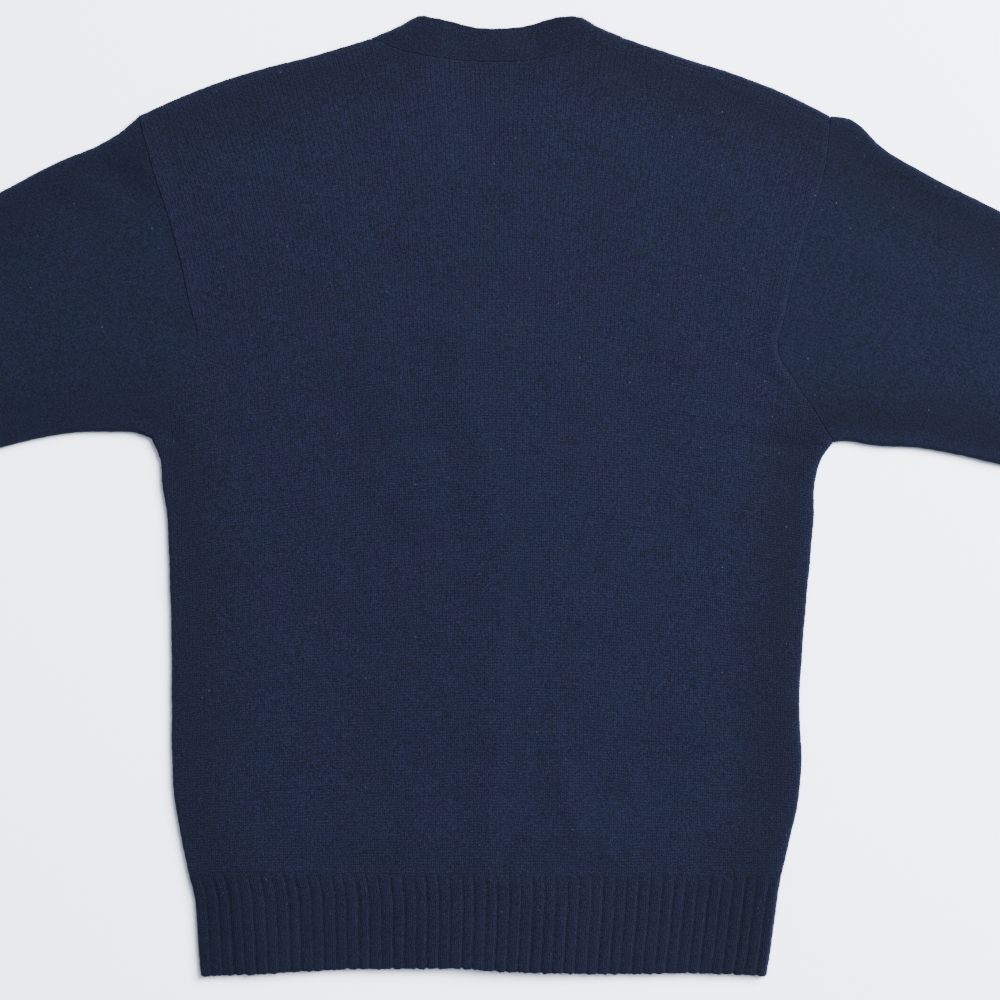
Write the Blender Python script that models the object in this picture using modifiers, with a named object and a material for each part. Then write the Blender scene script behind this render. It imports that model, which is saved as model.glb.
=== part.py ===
"""A navy wool cardigan, buttoned up and laid face down, so that its back is on top.

Metres, +Z up, the floor at z = 0. +Y runs from the hem to the neck and +X to the right of the
back as it is seen from above. The origin is under the middle of the spread garment.

The garment is two layers of knitted cloth. The upper layer is the back, its ribbed hem and the
neck band. The lower layer is the two fronts, their hems and the button bands, one over the
other. The sleeves and cuffs are flattened tubes that take part in both. Along the sides, the
shoulders and the sleeves the cloth turns from one layer to the other in a half-round roll.
Every piece is a wall between an outer and an inner skin, set out on a grid between its seams.
"""

import math

import bmesh
import bpy
import numpy as np

# Cloth
CLOTH = 0.0026  # plain knitted wall
BAND_CLOTH = 0.0030  # front and neck band
RIB_CREST = 0.0008  # height of a rib's crest over the plain cloth
RIB_DEPTH = 0.0011  # from a rib's crest down to the groove beside it
SEAM_GAP = 0.0003
WELD = 1e-6  # points this close are one point

# How the layers lie
ROLL = 0.0036  # outer radius of the rolled edges
CROWN = 0.0080  # top of the upper layer over most of the body
CROWN_REACH = 0.035  # distance in from the roll at which the crown is reached
EDGE_STEPS = (0.0, 0.0010, 0.0036, 0.014, 0.034)  # grid lines in from a rolled edge

# Front bands and buttons
BAND_WIDTH = 0.030
BAND_STEP = BAND_CLOTH + SEAM_GAP  # height of the inner band over the outer one
STEP_REACH = 0.022  # width over which the right front comes down to the floor
PARTING_TOP = 0.170  # the bands no longer lie on each other above this
PARTING_END = 0.220  # the right band has come down to the floor here
BUTTON_COUNT = 6
BUTTON_TOP_Y = 0.085
BUTTON_PITCH = 0.080
BUTTON_RADIUS = 0.009
BUTTON_HEIGHT = 0.0024
BUTTON_RIM = 0.0022  # width of the rim round the dished face
BUTTON_DISH = 0.0006
BUTTON_CHAMFER = 0.0006
BUTTON_STEPS = 16
BUTTON_LIFT = BUTTON_HEIGHT + SEAM_GAP
LIFT_ROW = 0.012  # grid lines this far to each side of a button's centre
LIFT_FLAT = 0.0172  # cloth stays level this far round a button's centre
LIFT_REACH = 0.043
BACK_LIFT_FLAT = 0.026  # the back bridges the bumps more softly
BACK_LIFT_REACH = 0.078
RIDGE_HEIGHT = 0.0012  # rise of the back over the two bands
RIDGE_FLAT = 0.020
RIDGE_REACH = 0.058
NECK_DIP = 0.0020  # sag of the back into the open neck

# Ribs
HEM_RIBS = 50
CUFF_RIBS = 12
NECK_RIBS = 9
RIB_PROFILE = ((0.0, 0.0), (0.2, 1.0), (0.8, 1.0))  # share of a rib's width, share of its depth
HEM_FADE = 0.006  # the ribs rise out of the plain cloth over this length
HEM_TUCK = 0.0010  # the fronts end this far inside the edge of the back

NAVY = (0.0177, 0.0252, 0.0524, 1.0)
BUTTON_NAVY = (0.010, 0.011, 0.018, 1.0)

# Outline of the body, from the hem up to the underarm
HEM_SIDE = (  # station, left x, left y, right x, right y
    ("hem corner", -0.2226, -0.3550, 0.1962, -0.3550),
    ("middle of the rib", -0.2253, -0.3170, 0.2016, -0.3181),
    ("upper rib", -0.2271, -0.2956, 0.2044, -0.2961),
    ("top of the rib", -0.2320, -0.2781, 0.2072, -0.2806),
)
BODY_SIDE = (
    ("top of the rib", -0.2320, -0.2781, 0.2072, -0.2806),
    ("drawn-in cloth", -0.2366, -0.2547, 0.2133, -0.2548),
    ("low hip", -0.2419, -0.2249, 0.2198, -0.2251),
    ("hip", -0.2439, -0.1900, 0.2222, -0.1950),
    ("high hip", -0.2440, -0.1550, 0.2206, -0.1579),
    ("waist", -0.2442, -0.1060, 0.2234, -0.1060),
    ("ribs", -0.2460, -0.0474, 0.2285, -0.0475),
    ("chest", -0.2472, -0.0177, 0.2311, -0.0178),
    ("below the arm", -0.2513, 0.0118, 0.2324, 0.0117),
    ("start of the curve", -0.2525, 0.0267, 0.2361, 0.0261),
    ("underarm", -0.2589, 0.0423, 0.2457, 0.0398),
)
ARMHOLE = (
    ("underarm", -0.2589, 0.0423, 0.2457, 0.0398),
    ("lower curve", -0.2453, 0.0666, 0.2300, 0.0640),
    ("side of the curve", -0.2305, 0.0873, 0.2165, 0.0851),
    ("deepest point", -0.2239, 0.1066, 0.2043, 0.1060),
    ("shoulder blade", -0.2305, 0.1436, 0.2091, 0.1339),
    ("middle", -0.2431, 0.1961, 0.2261, 0.1991),
    ("upper arm", -0.2579, 0.2435, 0.2390, 0.2440),
    ("shoulder tip", -0.2681, 0.2813, 0.2430, 0.2810),
)
SHOULDER = (
    ("shoulder tip", -0.2681, 0.2813, 0.2430, 0.2810),
    ("outer shoulder", -0.2381, 0.2950, 0.2213, 0.2924),
    ("middle", -0.1937, 0.3114, 0.1767, 0.3109),
    ("inner shoulder", -0.1344, 0.3272, 0.1324, 0.3250),
    ("neck point", -0.0963, 0.3387, 0.0897, 0.3394),
)
NECK_FOLD = (
    ("neck point", -0.0963, 0.3387, 0.0897, 0.3394),
    ("middle of the band", -0.0766, 0.3471, 0.0731, 0.3465),
    ("corner of the neck", -0.0610, 0.3559, 0.0581, 0.3549),
)
SLEEVE_TOP = (
    ("shoulder tip", -0.2681, 0.2813, 0.2430, 0.2810),
    ("sleeve head", -0.2796, 0.2711, 0.2549, 0.2801),
    ("outer sleeve head", -0.2973, 0.2601, 0.2830, 0.2570),
    ("upper arm", -0.3270, 0.2478, 0.3085, 0.2417),
    ("bicep", -0.3710, 0.2248, 0.3692, 0.2108),
    ("elbow", -0.5420, 0.1470, 0.5410, 0.1355),
    ("above the cuff", -0.6900, 0.0800, 0.6880, 0.0740),
    ("wrist", -0.7159, 0.0627, 0.7149, 0.0555),
)
SLEEVE_UNDER = (
    ("underarm", -0.2589, 0.0423, 0.2457, 0.0398),
    ("turn of the underarm", -0.2678, 0.0460, 0.2540, 0.0406),
    ("inner arm", -0.2900, 0.0476, 0.2725, 0.0377),
    ("upper arm", -0.3266, 0.0457, 0.3096, 0.0354),
    ("bicep", -0.3708, 0.0357, 0.3687, 0.0235),
    ("elbow", -0.5230, 0.0020, 0.5220, -0.0085),
    ("above the cuff", -0.6520, -0.0290, 0.6530, -0.0375),
    ("wrist", -0.6827, -0.0317, 0.6835, -0.0395),
)
CUFF_TOP = (
    ("wrist", -0.7159, 0.0627, 0.7149, 0.0555),
    ("cuff end", -0.7784, 0.0363, 0.7784, 0.0303),
)
CUFF_UNDER = (
    ("wrist", -0.6827, -0.0317, 0.6835, -0.0395),
    ("cuff end", -0.7481, -0.0505, 0.7490, -0.0571),
)

# Lines across the middle of the back, from left to right
NECK_SEAM = (  # x, y
    (-0.0963, 0.3387),
    (-0.0773, 0.3302),
    (-0.0588, 0.3256),
    (-0.0255, 0.3216),
    (0.0063, 0.3209),
    (0.0381, 0.3245),
    (0.0551, 0.3286),
    (0.0897, 0.3394),
)
NECK_EDGE = (
    (-0.0610, 0.3559),
    (-0.0447, 0.3525),
    (-0.0159, 0.3463),
    (-0.0011, 0.3458),
    (0.0136, 0.3470),
    (0.0432, 0.3541),
    (0.0581, 0.3549),
)
HEM_EDGE = (
    (-0.2226, -0.3550),
    (-0.1900, -0.3541),
    (-0.1500, -0.3518),
    (-0.1100, -0.3497),
    (-0.0700, -0.3493),
    (-0.0300, -0.3490),
    (0.0000, -0.3512),
    (0.0350, -0.3525),
    (0.0900, -0.3534),
    (0.1450, -0.3527),
    (0.1962, -0.3550),
)
PLACKET = (  # y, x of the middle of the two bands below the point of the neck
    (-0.3550, -0.0100),
    (-0.2500, -0.0070),
    (-0.1500, -0.0010),
    (-0.0770, -0.0010),
    (0.0040, -0.0070),
    (0.0820, -0.0263),
    (0.1000, -0.0292),
)

# Main folds of the upper layer: middle x, y, direction in degrees, half length, half width, height
FOLDS = (
    (0.1700, 0.0480, 8, 0.055, 0.010, -0.0011),  # under the right arm
    (0.1650, 0.0720, -14, 0.050, 0.010, 0.0008),
    (-0.3130, 0.2120, -17, 0.048, 0.012, -0.0012),  # across the head of the left sleeve
    (-0.2790, 0.2230, -24, 0.030, 0.010, 0.0008),
    (0.3000, 0.1550, -38, 0.060, 0.014, 0.0008),  # right sleeve
    (0.0380, -0.2310, -72, 0.042, 0.009, -0.0010),  # gathers over the rib
    (0.0640, -0.2270, -68, 0.036, 0.009, 0.0008),
    (-0.1330, -0.2400, 88, 0.034, 0.010, -0.0009),
    (-0.0260, -0.2540, 70, 0.028, 0.009, -0.0009),
)
BLOUSE_HEIGHT = 0.0008  # the plain cloth swells just above the rib
BLOUSE_Y = -0.250
BLOUSE_REACH = 0.030

SIDE_ROWS = 14  # stretches along the side seam
ARMHOLE_ROWS = 7  # even stretches along the armhole, between those close to its ends
LEFT, RIGHT = 0, 1


def smooth(t):
    """Eased step from 0 to 1."""
    t = np.clip(t, 0.0, 1.0)
    return t * t * (3.0 - 2.0 * t)


def curve(points, pieces=12):
    """Smooth line through the points: each stretch is a Hermite cubic with Catmull-Rom tangents."""
    points = np.asarray(points, float)
    ends = np.vstack([2 * points[0] - points[1], points, 2 * points[-1] - points[-2]])
    chord = np.linalg.norm(np.diff(ends, axis=0), axis=1)
    line = [points[:1]]
    for i in range(len(points) - 1):
        before, start, end, after = ends[i : i + 4]
        a, b, c = chord[i : i + 3]
        leave = ((start - before) / a * b + (end - start) / b * a) / (a + b) * b
        arrive = ((end - start) / b * c + (after - end) / c * b) / (b + c) * b
        t = np.linspace(0, 1, pieces + 1)[1:, None]
        line.append(
            (2 * t**3 - 3 * t**2 + 1) * start
            + (t**3 - 2 * t**2 + t) * leave
            + (3 * t**2 - 2 * t**3) * end
            + (t**3 - t**2) * arrive
        )
    return np.vstack(line)


def side_curve(table, side):
    """The line of one column pair of an outline table."""
    return curve([row[1 + 2 * side : 3 + 2 * side] for row in table])


def lengths(line):
    """Distance along the line at each of its points."""
    return np.concatenate([[0.0], np.cumsum(np.linalg.norm(np.diff(line, axis=0), axis=1))])


def at(line, distances):
    """Points of the line at these distances along it."""
    run = lengths(line)
    return np.stack([np.interp(distances, run, line[:, k]) for k in range(2)], axis=-1)


def evenly(line, count):
    return at(line, np.linspace(0, lengths(line)[-1], count + 1))


def between_edges(line, middle, first=EDGE_STEPS, last=EDGE_STEPS):
    """Points close together at both ends of the line, with so many even stretches between."""
    total = lengths(line)[-1]
    inner = np.linspace(first[-1], total - last[-1], middle + 1)[1:-1]
    return at(line, np.concatenate([first, inner, total - np.array(last)[::-1]]))


def placket_x(y):
    """Middle of the bands below the point of the neck."""
    table = curve([(row[1], row[0]) for row in PLACKET])
    return np.interp(y, table[:, 1], table[:, 0])


def coons(south, north, west, east):
    """Grid between four edges that share their corners. Rows run from south to north."""
    u = (lengths(south) / lengths(south)[-1] + lengths(north) / lengths(north)[-1])[None, :, None] / 2
    v = (lengths(west) / lengths(west)[-1] + lengths(east) / lengths(east)[-1])[:, None, None] / 2
    corners = (
        (1 - u) * (1 - v) * south[0] + u * (1 - v) * south[-1] + (1 - u) * v * north[0] + u * v * north[-1]
    )
    return (1 - v) * south + v * north + (1 - u) * west[:, None] + u * east[:, None] - corners


def tangents(line):
    """Unit directions along a line at each of its points."""
    along = np.gradient(line, lengths(line), axis=0)
    return along / np.linalg.norm(along, axis=1, keepdims=True)


def beside(seam):
    """Index of the grid line next to a seam on the border of a grid."""
    row, column = seam
    if isinstance(row, int):
        return (1 if row == 0 else -2), column
    return row, (1 if column == 0 else -2)


def pull_in(plan, seams):
    """Moves the seam edges of a piece half a seam's gap towards its inside."""
    for seam in seams:
        edge = plan[seam].copy()
        along = tangents(edge)
        across = np.stack([-along[:, 1], along[:, 0]], axis=-1)
        across *= np.sign(np.sum(across * (plan[beside(seam)] - edge), axis=1, keepdims=True))
        plan[seam] = edge + across * SEAM_GAP / 2


class Seams:
    """Named seam lines of the garment in plan, each a list of points that both of its pieces use."""

    def __init__(self):
        names = (
            ("hem_side", HEM_SIDE),
            ("body_side", BODY_SIDE),
            ("armhole", ARMHOLE),
            ("shoulder", SHOULDER),
            ("fold", NECK_FOLD),
            ("sleeve_top", SLEEVE_TOP),
            ("sleeve_under", SLEEVE_UNDER),
            ("cuff_top", CUFF_TOP),
            ("cuff_under", CUFF_UNDER),
        )
        self.lines = {name: [side_curve(table, side) for side in (LEFT, RIGHT)] for name, table in names}
        self.neck = curve(NECK_SEAM)
        self.neck_edge = curve(NECK_EDGE)
        self.hem_edge = curve(HEM_EDGE)
        rib_top = np.array([self.lines["body_side"][LEFT][0], self.lines["body_side"][RIGHT][0]])
        self.rib_seam = np.linspace(rib_top[0], rib_top[1], 3)
        self.rolled = self.rolled_edges()

    def rolled_edges(self):
        """The lines along which the cloth turns from one layer to the other, with the body on their left."""
        edges = []
        for side in (LEFT, RIGHT):
            under = [self.lines[n][side] for n in ("hem_side", "body_side", "sleeve_under", "cuff_under")]
            over = [self.lines[n][side] for n in ("fold", "shoulder", "sleeve_top", "cuff_top")]
            over = [over[0][::-1], over[1][::-1], over[2], over[3]]
            for parts, inside_is_left in ((under, side == RIGHT), (over, side == LEFT)):
                line = np.vstack([part[:-1] for part in parts] + [parts[-1][-1:]])
                line = np.vstack([2 * line[0] - line[1], line, 2 * line[-1] - line[-2]])
                edges.append(line if inside_is_left else line[::-1])
        return edges

    def edge_distance(self, xy):
        """Distance of each point from the nearest rolled edge, and the way in from that edge."""
        flat = xy.reshape(-1, 2)
        nearest = np.full(len(flat), np.inf)
        inward = np.zeros_like(flat)
        for line in self.rolled:
            start, step = line[:-1], np.diff(line, axis=0)
            square = np.sum(step**2, axis=1)
            share = np.clip(np.einsum("psk,sk->ps", flat[:, None] - start, step) / square, 0, 1)
            apart = np.linalg.norm(flat[:, None] - start - share[..., None] * step, axis=2)
            best = apart.argmin(axis=1)
            closer = apart[np.arange(len(flat)), best] < nearest
            way = np.stack([-step[:, 1], step[:, 0]], axis=-1) / np.sqrt(square)[:, None]
            nearest[closer] = apart[np.arange(len(flat)), best][closer]
            inward[closer] = way[best[closer]]
        return nearest.reshape(xy.shape[:-1]), inward.reshape(xy.shape)


SEAMS = Seams()
RIB_SEAM_Y = float(SEAMS.rib_seam[1, 1])
BUTTON_YS = [BUTTON_TOP_Y - i * BUTTON_PITCH for i in range(BUTTON_COUNT)]


def band_line(side, seam_edge):
    """Edge of a front band in plan, from the hem to the neck: the seam edge or the free edge."""
    outward = -1 if (side == LEFT) == seam_edge else 1
    end = SEAMS.lines["fold"][side][0 if seam_edge else -1]
    heights = [row[0] for row in PLACKET]
    points = [(float(placket_x(y)) + outward * BAND_WIDTH / 2, y) for y in heights]
    start = np.array(points[-1])
    leg = [start + share * (end - start) for share in (0.25, 0.6, 1.0)]
    return curve(points + [tuple(p) for p in leg])


def band_middle(y):
    """Middle of the right front band, which lies on the left one up to where they part."""
    seam, free = band_line(RIGHT, True), band_line(RIGHT, False)
    return (np.interp(y, seam[:, 1], seam[:, 0]) + np.interp(y, free[:, 1], free[:, 0])) / 2


MIDDLE_YS = np.linspace(HEM_SIDE[0][2], 0.300, 80)
MIDDLE_XS = band_middle(MIDDLE_YS)


def stacking(y):
    """1 where the right band lies on the left one, 0 where it lies on the floor."""
    return 1 - smooth((y - PARTING_TOP) / (PARTING_END - PARTING_TOP))


def front_end(x):
    """Y of the lower edge of the fronts, which stays hidden under the edge of the back."""
    edge = SEAMS.hem_edge
    from_side = np.minimum(x - edge[0, 0], edge[-1, 0] - x)
    return np.interp(x, edge[:, 0], edge[:, 1]) + HEM_TUCK * smooth(from_side / STEP_REACH)


def button_lift(xy, level, reach):
    """Share of a button's height by which the cloth round it is raised."""
    lift = np.zeros(xy.shape[:-1])
    for y in BUTTON_YS:
        away = np.linalg.norm(xy - np.array([placket_x(y), y]), axis=-1)
        lift = np.maximum(lift, 1 - smooth((away - level) / (reach - level)))
    return lift


def rise(xy, distance):
    """Height of the upper layer's outer skin over the top of the roll."""
    x, y = xy[..., 0], xy[..., 1]
    inside = smooth((distance - ROLL) / CROWN_REACH)
    height = (CROWN - 2 * ROLL) * inside
    off_ridge = np.abs(x - np.interp(y, MIDDLE_YS, MIDDLE_XS))
    ridge = 1 - smooth((off_ridge - RIDGE_FLAT) / (RIDGE_REACH - RIDGE_FLAT))
    height += RIDGE_HEIGHT * stacking(y) * ridge
    height += BUTTON_LIFT * button_lift(xy, BACK_LIFT_FLAT, BACK_LIFT_REACH)
    height -= NECK_DIP * neck_opening(xy) * inside
    height += BLOUSE_HEIGHT * inside * smooth(1 - np.abs(y - BLOUSE_Y) / BLOUSE_REACH)
    for middle_x, middle_y, angle, half_length, half_width, depth in FOLDS:
        c, s = math.cos(math.radians(angle)), math.sin(math.radians(angle))
        along = (x - middle_x) * c + (y - middle_y) * s
        across = (y - middle_y) * c - (x - middle_x) * s
        fold = smooth(1 - np.abs(along) / half_length) * np.exp(-((across / half_width) ** 2))
        height += depth * fold * inside
    return height


def neck_opening(xy):
    """1 over the open V of the neck, where nothing holds the back up, easing to 0 over the bands."""
    x, y = xy[..., 0], xy[..., 1]
    left, right = band_line(LEFT, False), band_line(RIGHT, False)
    room = np.minimum(x - np.interp(y, left[:, 1], left[:, 0]), np.interp(y, right[:, 1], right[:, 0]) - x)
    return smooth(room / 0.030) * smooth((y - PARTING_END) / 0.050)


def roll_in(xy, seams):
    """How far round the roll each point is, as a cosine and a sine, and the way in for its inner point.

    Along a seam the way in follows the seam, so that the inner skins stay as far apart as the outer ones.
    """
    distance, inward = SEAMS.edge_distance(xy)
    cosine = np.clip(1 - distance / ROLL, 0, 1)
    for seam in seams:
        along = tangents(xy[seam])
        lean = np.sum(along * inward[seam], axis=1, keepdims=True)
        follows = np.abs(lean) > 0.3
        inward[seam] = np.where(follows, along / np.where(follows, lean, 1), inward[seam])
    return distance, inward * cosine[..., None], np.sqrt(1 - cosine**2)


def upper_skins(xy, wall, seams, seam=SEAM_GAP, raised=0.0):
    """Outer and inner points of upper-layer cloth. raised is the height of its ribs over plain cloth."""
    distance, way, sine = roll_in(xy, seams)
    z = ROLL + seam / 2 + ROLL * sine + rise(xy, distance)
    outer = np.concatenate([xy, (z + raised * sine)[..., None]], axis=-1)
    inner = np.concatenate([xy + way * wall, (z - wall * sine)[..., None]], axis=-1)
    return outer, inner


def lower_skins(xy, wall, seams, seam=SEAM_GAP, lift=0.0):
    """Outer points, which face the floor, and inner points of lower-layer cloth."""
    _, way, sine = roll_in(xy, seams)
    z = (ROLL - seam / 2) * (1 - sine) + lift
    outer = np.concatenate([xy, z[..., None]], axis=-1)
    inner = np.concatenate([xy + way * wall, (z + wall * sine)[..., None]], axis=-1)
    return outer, inner


def add_material(name, colour, roughness):
    material = bpy.data.materials.new(name)
    material.use_nodes = True
    shader = material.node_tree.nodes["Principled BSDF"]
    shader.inputs["Base Color"].default_value = colour
    shader.inputs["Roughness"].default_value = roughness
    shader.inputs["Metallic"].default_value = 0.0
    return material


def add_wall(name, skins, material):
    """Closed wall between two skins: a grid laid on the outer one, then extruded to the inner one."""
    outer, inner = skins
    rows, columns = outer.shape[:2]
    shape = bmesh.new()
    bmesh.ops.create_grid(shape, x_segments=columns - 1, y_segments=rows - 1, size=0.5)
    place = shape.verts.layers.int.new("place")
    for vert in shape.verts:
        column = round((vert.co.x + 0.5) * (columns - 1))
        row = round((vert.co.y + 0.5) * (rows - 1))
        vert[place] = row * columns + column
        vert.co = outer[row, column]
    bmesh.ops.remove_doubles(shape, verts=shape.verts, dist=WELD)
    extruded = bmesh.ops.extrude_face_region(shape, geom=shape.faces[:])
    flat_inner = inner.reshape(-1, 3)
    for vert in (item for item in extruded["geom"] if isinstance(item, bmesh.types.BMVert)):
        vert.co = flat_inner[vert[place]]
    bmesh.ops.recalc_face_normals(shape, faces=shape.faces)
    mesh = bpy.data.meshes.new(name)
    shape.to_mesh(mesh)
    shape.free()
    mesh.shade_smooth()
    mesh.set_sharp_from_angle(angle=math.radians(50))
    mesh.materials.append(material)
    GARMENT.objects.link(bpy.data.objects.new(name, mesh))


def rib_columns(ribs):
    """Share of the width at each grid line across the ribs, and the height over plain cloth there."""
    shares = [(rib + along) / ribs for rib in range(ribs) for along, _ in RIB_PROFILE] + [1.0]
    heights = [height for _ in range(ribs) for _, height in RIB_PROFILE] + [RIB_PROFILE[0][1]]
    return np.array(shares), RIB_CREST + (np.array(heights) - 1) * RIB_DEPTH


def side_rows(side):
    """Rows of the body on its side seam and then on the armhole, shared by back, front and sleeve."""
    below = evenly(SEAMS.lines["body_side"][side], SIDE_ROWS)
    return np.vstack([below, between_edges(SEAMS.lines["armhole"][side], ARMHOLE_ROWS)[1:]])


def neck_columns():
    """Points of the neck seam shared by the back and the neck band."""
    return between_edges(SEAMS.neck, 9)


def add_back(wool):
    shoulders = [between_edges(SEAMS.lines["shoulder"][side], 3, last=(0.0,)) for side in (LEFT, RIGHT)]
    neck = neck_columns()
    north = np.vstack([shoulders[LEFT], neck[1:-1], shoulders[RIGHT][::-1]])
    share = lengths(north) / lengths(north)[-1]
    south = at(SEAMS.rib_seam, share * lengths(SEAMS.rib_seam)[-1])
    plan = coons(south, north, side_rows(LEFT), side_rows(RIGHT))
    first = len(shoulders[LEFT]) - 1
    neck_part = slice(first, first + len(neck))
    seams = (np.s_[-1, neck_part], np.s_[0, :], np.s_[SIDE_ROWS:, 0], np.s_[SIDE_ROWS:, -1])
    pull_in(plan, seams)
    add_wall("back", upper_skins(plan, CLOTH, seams), wool)


def add_back_hem(wool):
    share, height = rib_columns(HEM_RIBS)
    south = at(SEAMS.hem_edge, share * lengths(SEAMS.hem_edge)[-1])
    north = at(SEAMS.rib_seam, share * lengths(SEAMS.rib_seam)[-1])
    sides = []
    for side in (LEFT, RIGHT):
        line = SEAMS.lines["hem_side"][side]
        total = lengths(line)[-1]
        sides.append(at(line, [0.0, total / 2, total - HEM_FADE, total]))
    plan = coons(south, north, *sides)
    pull_in(plan, (np.s_[-1, :],))
    fade = np.array([1.0, 1.0, 1.0, 0.35])[:, None]
    borders = (np.s_[0, :], np.s_[-1, :])
    add_wall("back_hem", upper_skins(plan, CLOTH, borders, raised=height * fade), wool)


def add_neck_band(wool):
    south = neck_columns()
    north = at(SEAMS.neck_edge, lengths(south) / lengths(south)[-1] * lengths(SEAMS.neck_edge)[-1])
    folds = [evenly(SEAMS.lines["fold"][side], 2 * NECK_RIBS) for side in (LEFT, RIGHT)]
    plan = coons(south, north, *folds)
    pull_in(plan, (np.s_[0, :],))
    groove = np.where(np.arange(2 * NECK_RIBS + 1) % 2, 0.0, -0.5 * RIB_DEPTH)[:, None]
    rows = [np.s_[row, :] for row in range(len(plan))]
    add_wall("neck_band", upper_skins(plan, BAND_CLOTH, rows, raised=groove), wool)


def band_rows(side, seam_edge):
    """Points of a band's edge: level rows round each button, then rows up to the fold at the neck."""
    line = band_line(side, seam_edge)
    heights = [float(front_end(line[0, 0])), RIB_SEAM_Y] + [y + BUTTON_PITCH / 2 for y in BUTTON_YS[1:-1]]
    for y in BUTTON_YS:
        heights += [y - LIFT_ROW, y + LIFT_ROW]
    heights = sorted(heights)
    below = np.stack([np.interp(heights, line[:, 1], line[:, 0]), heights], axis=-1)
    leg = line[line[:, 1] > heights[-1] + WELD]
    leg = np.vstack([below[-1:], leg])
    arm = side_rows(side)[SIDE_ROWS:]
    above = at(leg, lengths(arm) / lengths(arm)[-1] * lengths(leg)[-1])
    return np.vstack([below, above[1:]])


def front_lift(xy, side):
    """Height of a front's outer skin over the floor: round the buttons, and beside the stacked bands."""
    lift = BUTTON_LIFT * button_lift(xy, LIFT_FLAT, LIFT_REACH)
    if side == RIGHT:
        seam = band_line(RIGHT, True)
        away = xy[..., 0] - np.interp(xy[..., 1], seam[:, 1], seam[:, 0])
        lift = lift + BAND_STEP * stacking(xy[..., 1]) * smooth(1 - away / STEP_REACH)
    return lift


def front_columns(start, end):
    """Grid lines across a front: close together at the rolled side and beside the band."""
    return between_edges(np.linspace(start, end, 3), 2, last=(0.0, 0.010, STEP_REACH, LIFT_REACH))


def add_front(side, name, wool):
    edge = band_rows(side, True)
    inner_edge = edge[edge[:, 1] > RIB_SEAM_Y - WELD]
    outer_edge = side_rows(side)
    south = front_columns(outer_edge[0], inner_edge[0])
    shoulder = SEAMS.lines["shoulder"][side]
    share = lengths(south) / lengths(south)[-1]
    north = at(shoulder, share * lengths(shoulder)[-1])
    plan = coons(south, north, outer_edge, inner_edge)
    seams = (np.s_[0, :], np.s_[SIDE_ROWS:, 0], np.s_[:, -1])
    pull_in(plan, seams)
    add_wall(name, lower_skins(plan, CLOTH, seams, lift=front_lift(plan, side)), wool)


def add_front_hem(side, name, wool):
    edge = band_rows(side, True)
    inner_edge = edge[edge[:, 1] < RIB_SEAM_Y + WELD]
    line = SEAMS.lines["hem_side"][side]
    outer_edge = at(line, lengths(inner_edge) / lengths(inner_edge)[-1] * lengths(line)[-1])
    north = front_columns(outer_edge[-1], inner_edge[-1])
    south = front_columns(outer_edge[0], inner_edge[0])
    south[1:-1, 1] = front_end(south[1:-1, 0])
    plan = coons(south, north, outer_edge, inner_edge)
    pull_in(plan, (np.s_[-1, :], np.s_[:, -1]))
    borders = (np.s_[0, :], np.s_[-1, :])
    add_wall(name, lower_skins(plan, CLOTH, borders, lift=front_lift(plan, side)), wool)


def add_front_band(side, name, wool):
    seam_edge, free_edge = band_rows(side, True), band_rows(side, False)
    across = np.array([0.0, 0.1, 0.5, 0.9, 1.0])[:, None]
    south = seam_edge[0] + across * (free_edge[0] - seam_edge[0])
    fold = SEAMS.lines["fold"][side]
    north = at(fold, across[:, 0] * lengths(fold)[-1])
    plan = coons(south, north, seam_edge, free_edge)
    pull_in(plan, (np.s_[:, 0],))
    lift = BUTTON_LIFT * button_lift(plan, LIFT_FLAT, LIFT_REACH)
    if side == RIGHT:
        lift = lift + BAND_STEP * stacking(plan[..., 1])
    borders = (np.s_[:, 0], np.s_[:, -1])
    add_wall(name, lower_skins(plan, BAND_CLOTH, borders, lift=lift), wool)


def closed_ring(upper, lower):
    """Joins the skins of a tube's two layers into one ring of columns, back to where it starts."""
    return tuple(np.concatenate([up, low[:, ::-1][:, 1:]], axis=1) for up, low in zip(upper, lower))


def add_sleeve(side, name, wool):
    armhole = side_rows(side)[SIDE_ROWS:]
    under, over = SEAMS.lines["sleeve_under"][side], SEAMS.lines["sleeve_top"][side]
    wrist = between_edges(np.linspace(under[-1], over[-1], 3), ARMHOLE_ROWS)
    steps = np.array([0.0, 0.03, 0.09, 0.17, 0.27, 0.40, 0.55, 0.70, 0.84, 0.95, 1.0])
    edges = [at(line, steps * lengths(line)[-1]) for line in (under, over)]
    plan = coons(armhole, wrist, *edges)
    seams = (np.s_[0, :], np.s_[-1, :])
    pull_in(plan, seams)
    layers = [skins(plan, CLOTH, seams, seam=0.0) for skins in (upper_skins, lower_skins)]
    add_wall(name, closed_ring(*layers), wool)


def add_cuff(side, name, wool):
    under, over = SEAMS.lines["cuff_under"][side], SEAMS.lines["cuff_top"][side]
    share, height = rib_columns(CUFF_RIBS)
    ends = [np.linspace(under[i], over[i], 3) for i in (0, -1)]
    wrist, opening = [at(line, share * lengths(line)[-1]) for line in ends]
    total = lengths(under)[-1]
    edges = [at(line, [0.0, HEM_FADE, total]) for line in (under, over)]
    plan = coons(wrist, opening, *edges)
    pull_in(plan, (np.s_[0, :],))
    fade = np.array([0.35, 1.0, 1.0])[:, None]
    borders = (np.s_[0, :], np.s_[-1, :])
    upper = upper_skins(plan, CLOTH, borders, seam=0.0, raised=height * fade)
    last = len(share) - 1
    plain = [0, 1, 2, *range(4, last - 3, 8), last - 2, last - 1, last]
    lower = lower_skins(plan[:, plain], CLOTH, borders, seam=0.0)
    add_wall(name, closed_ring(upper, lower), wool)


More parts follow.
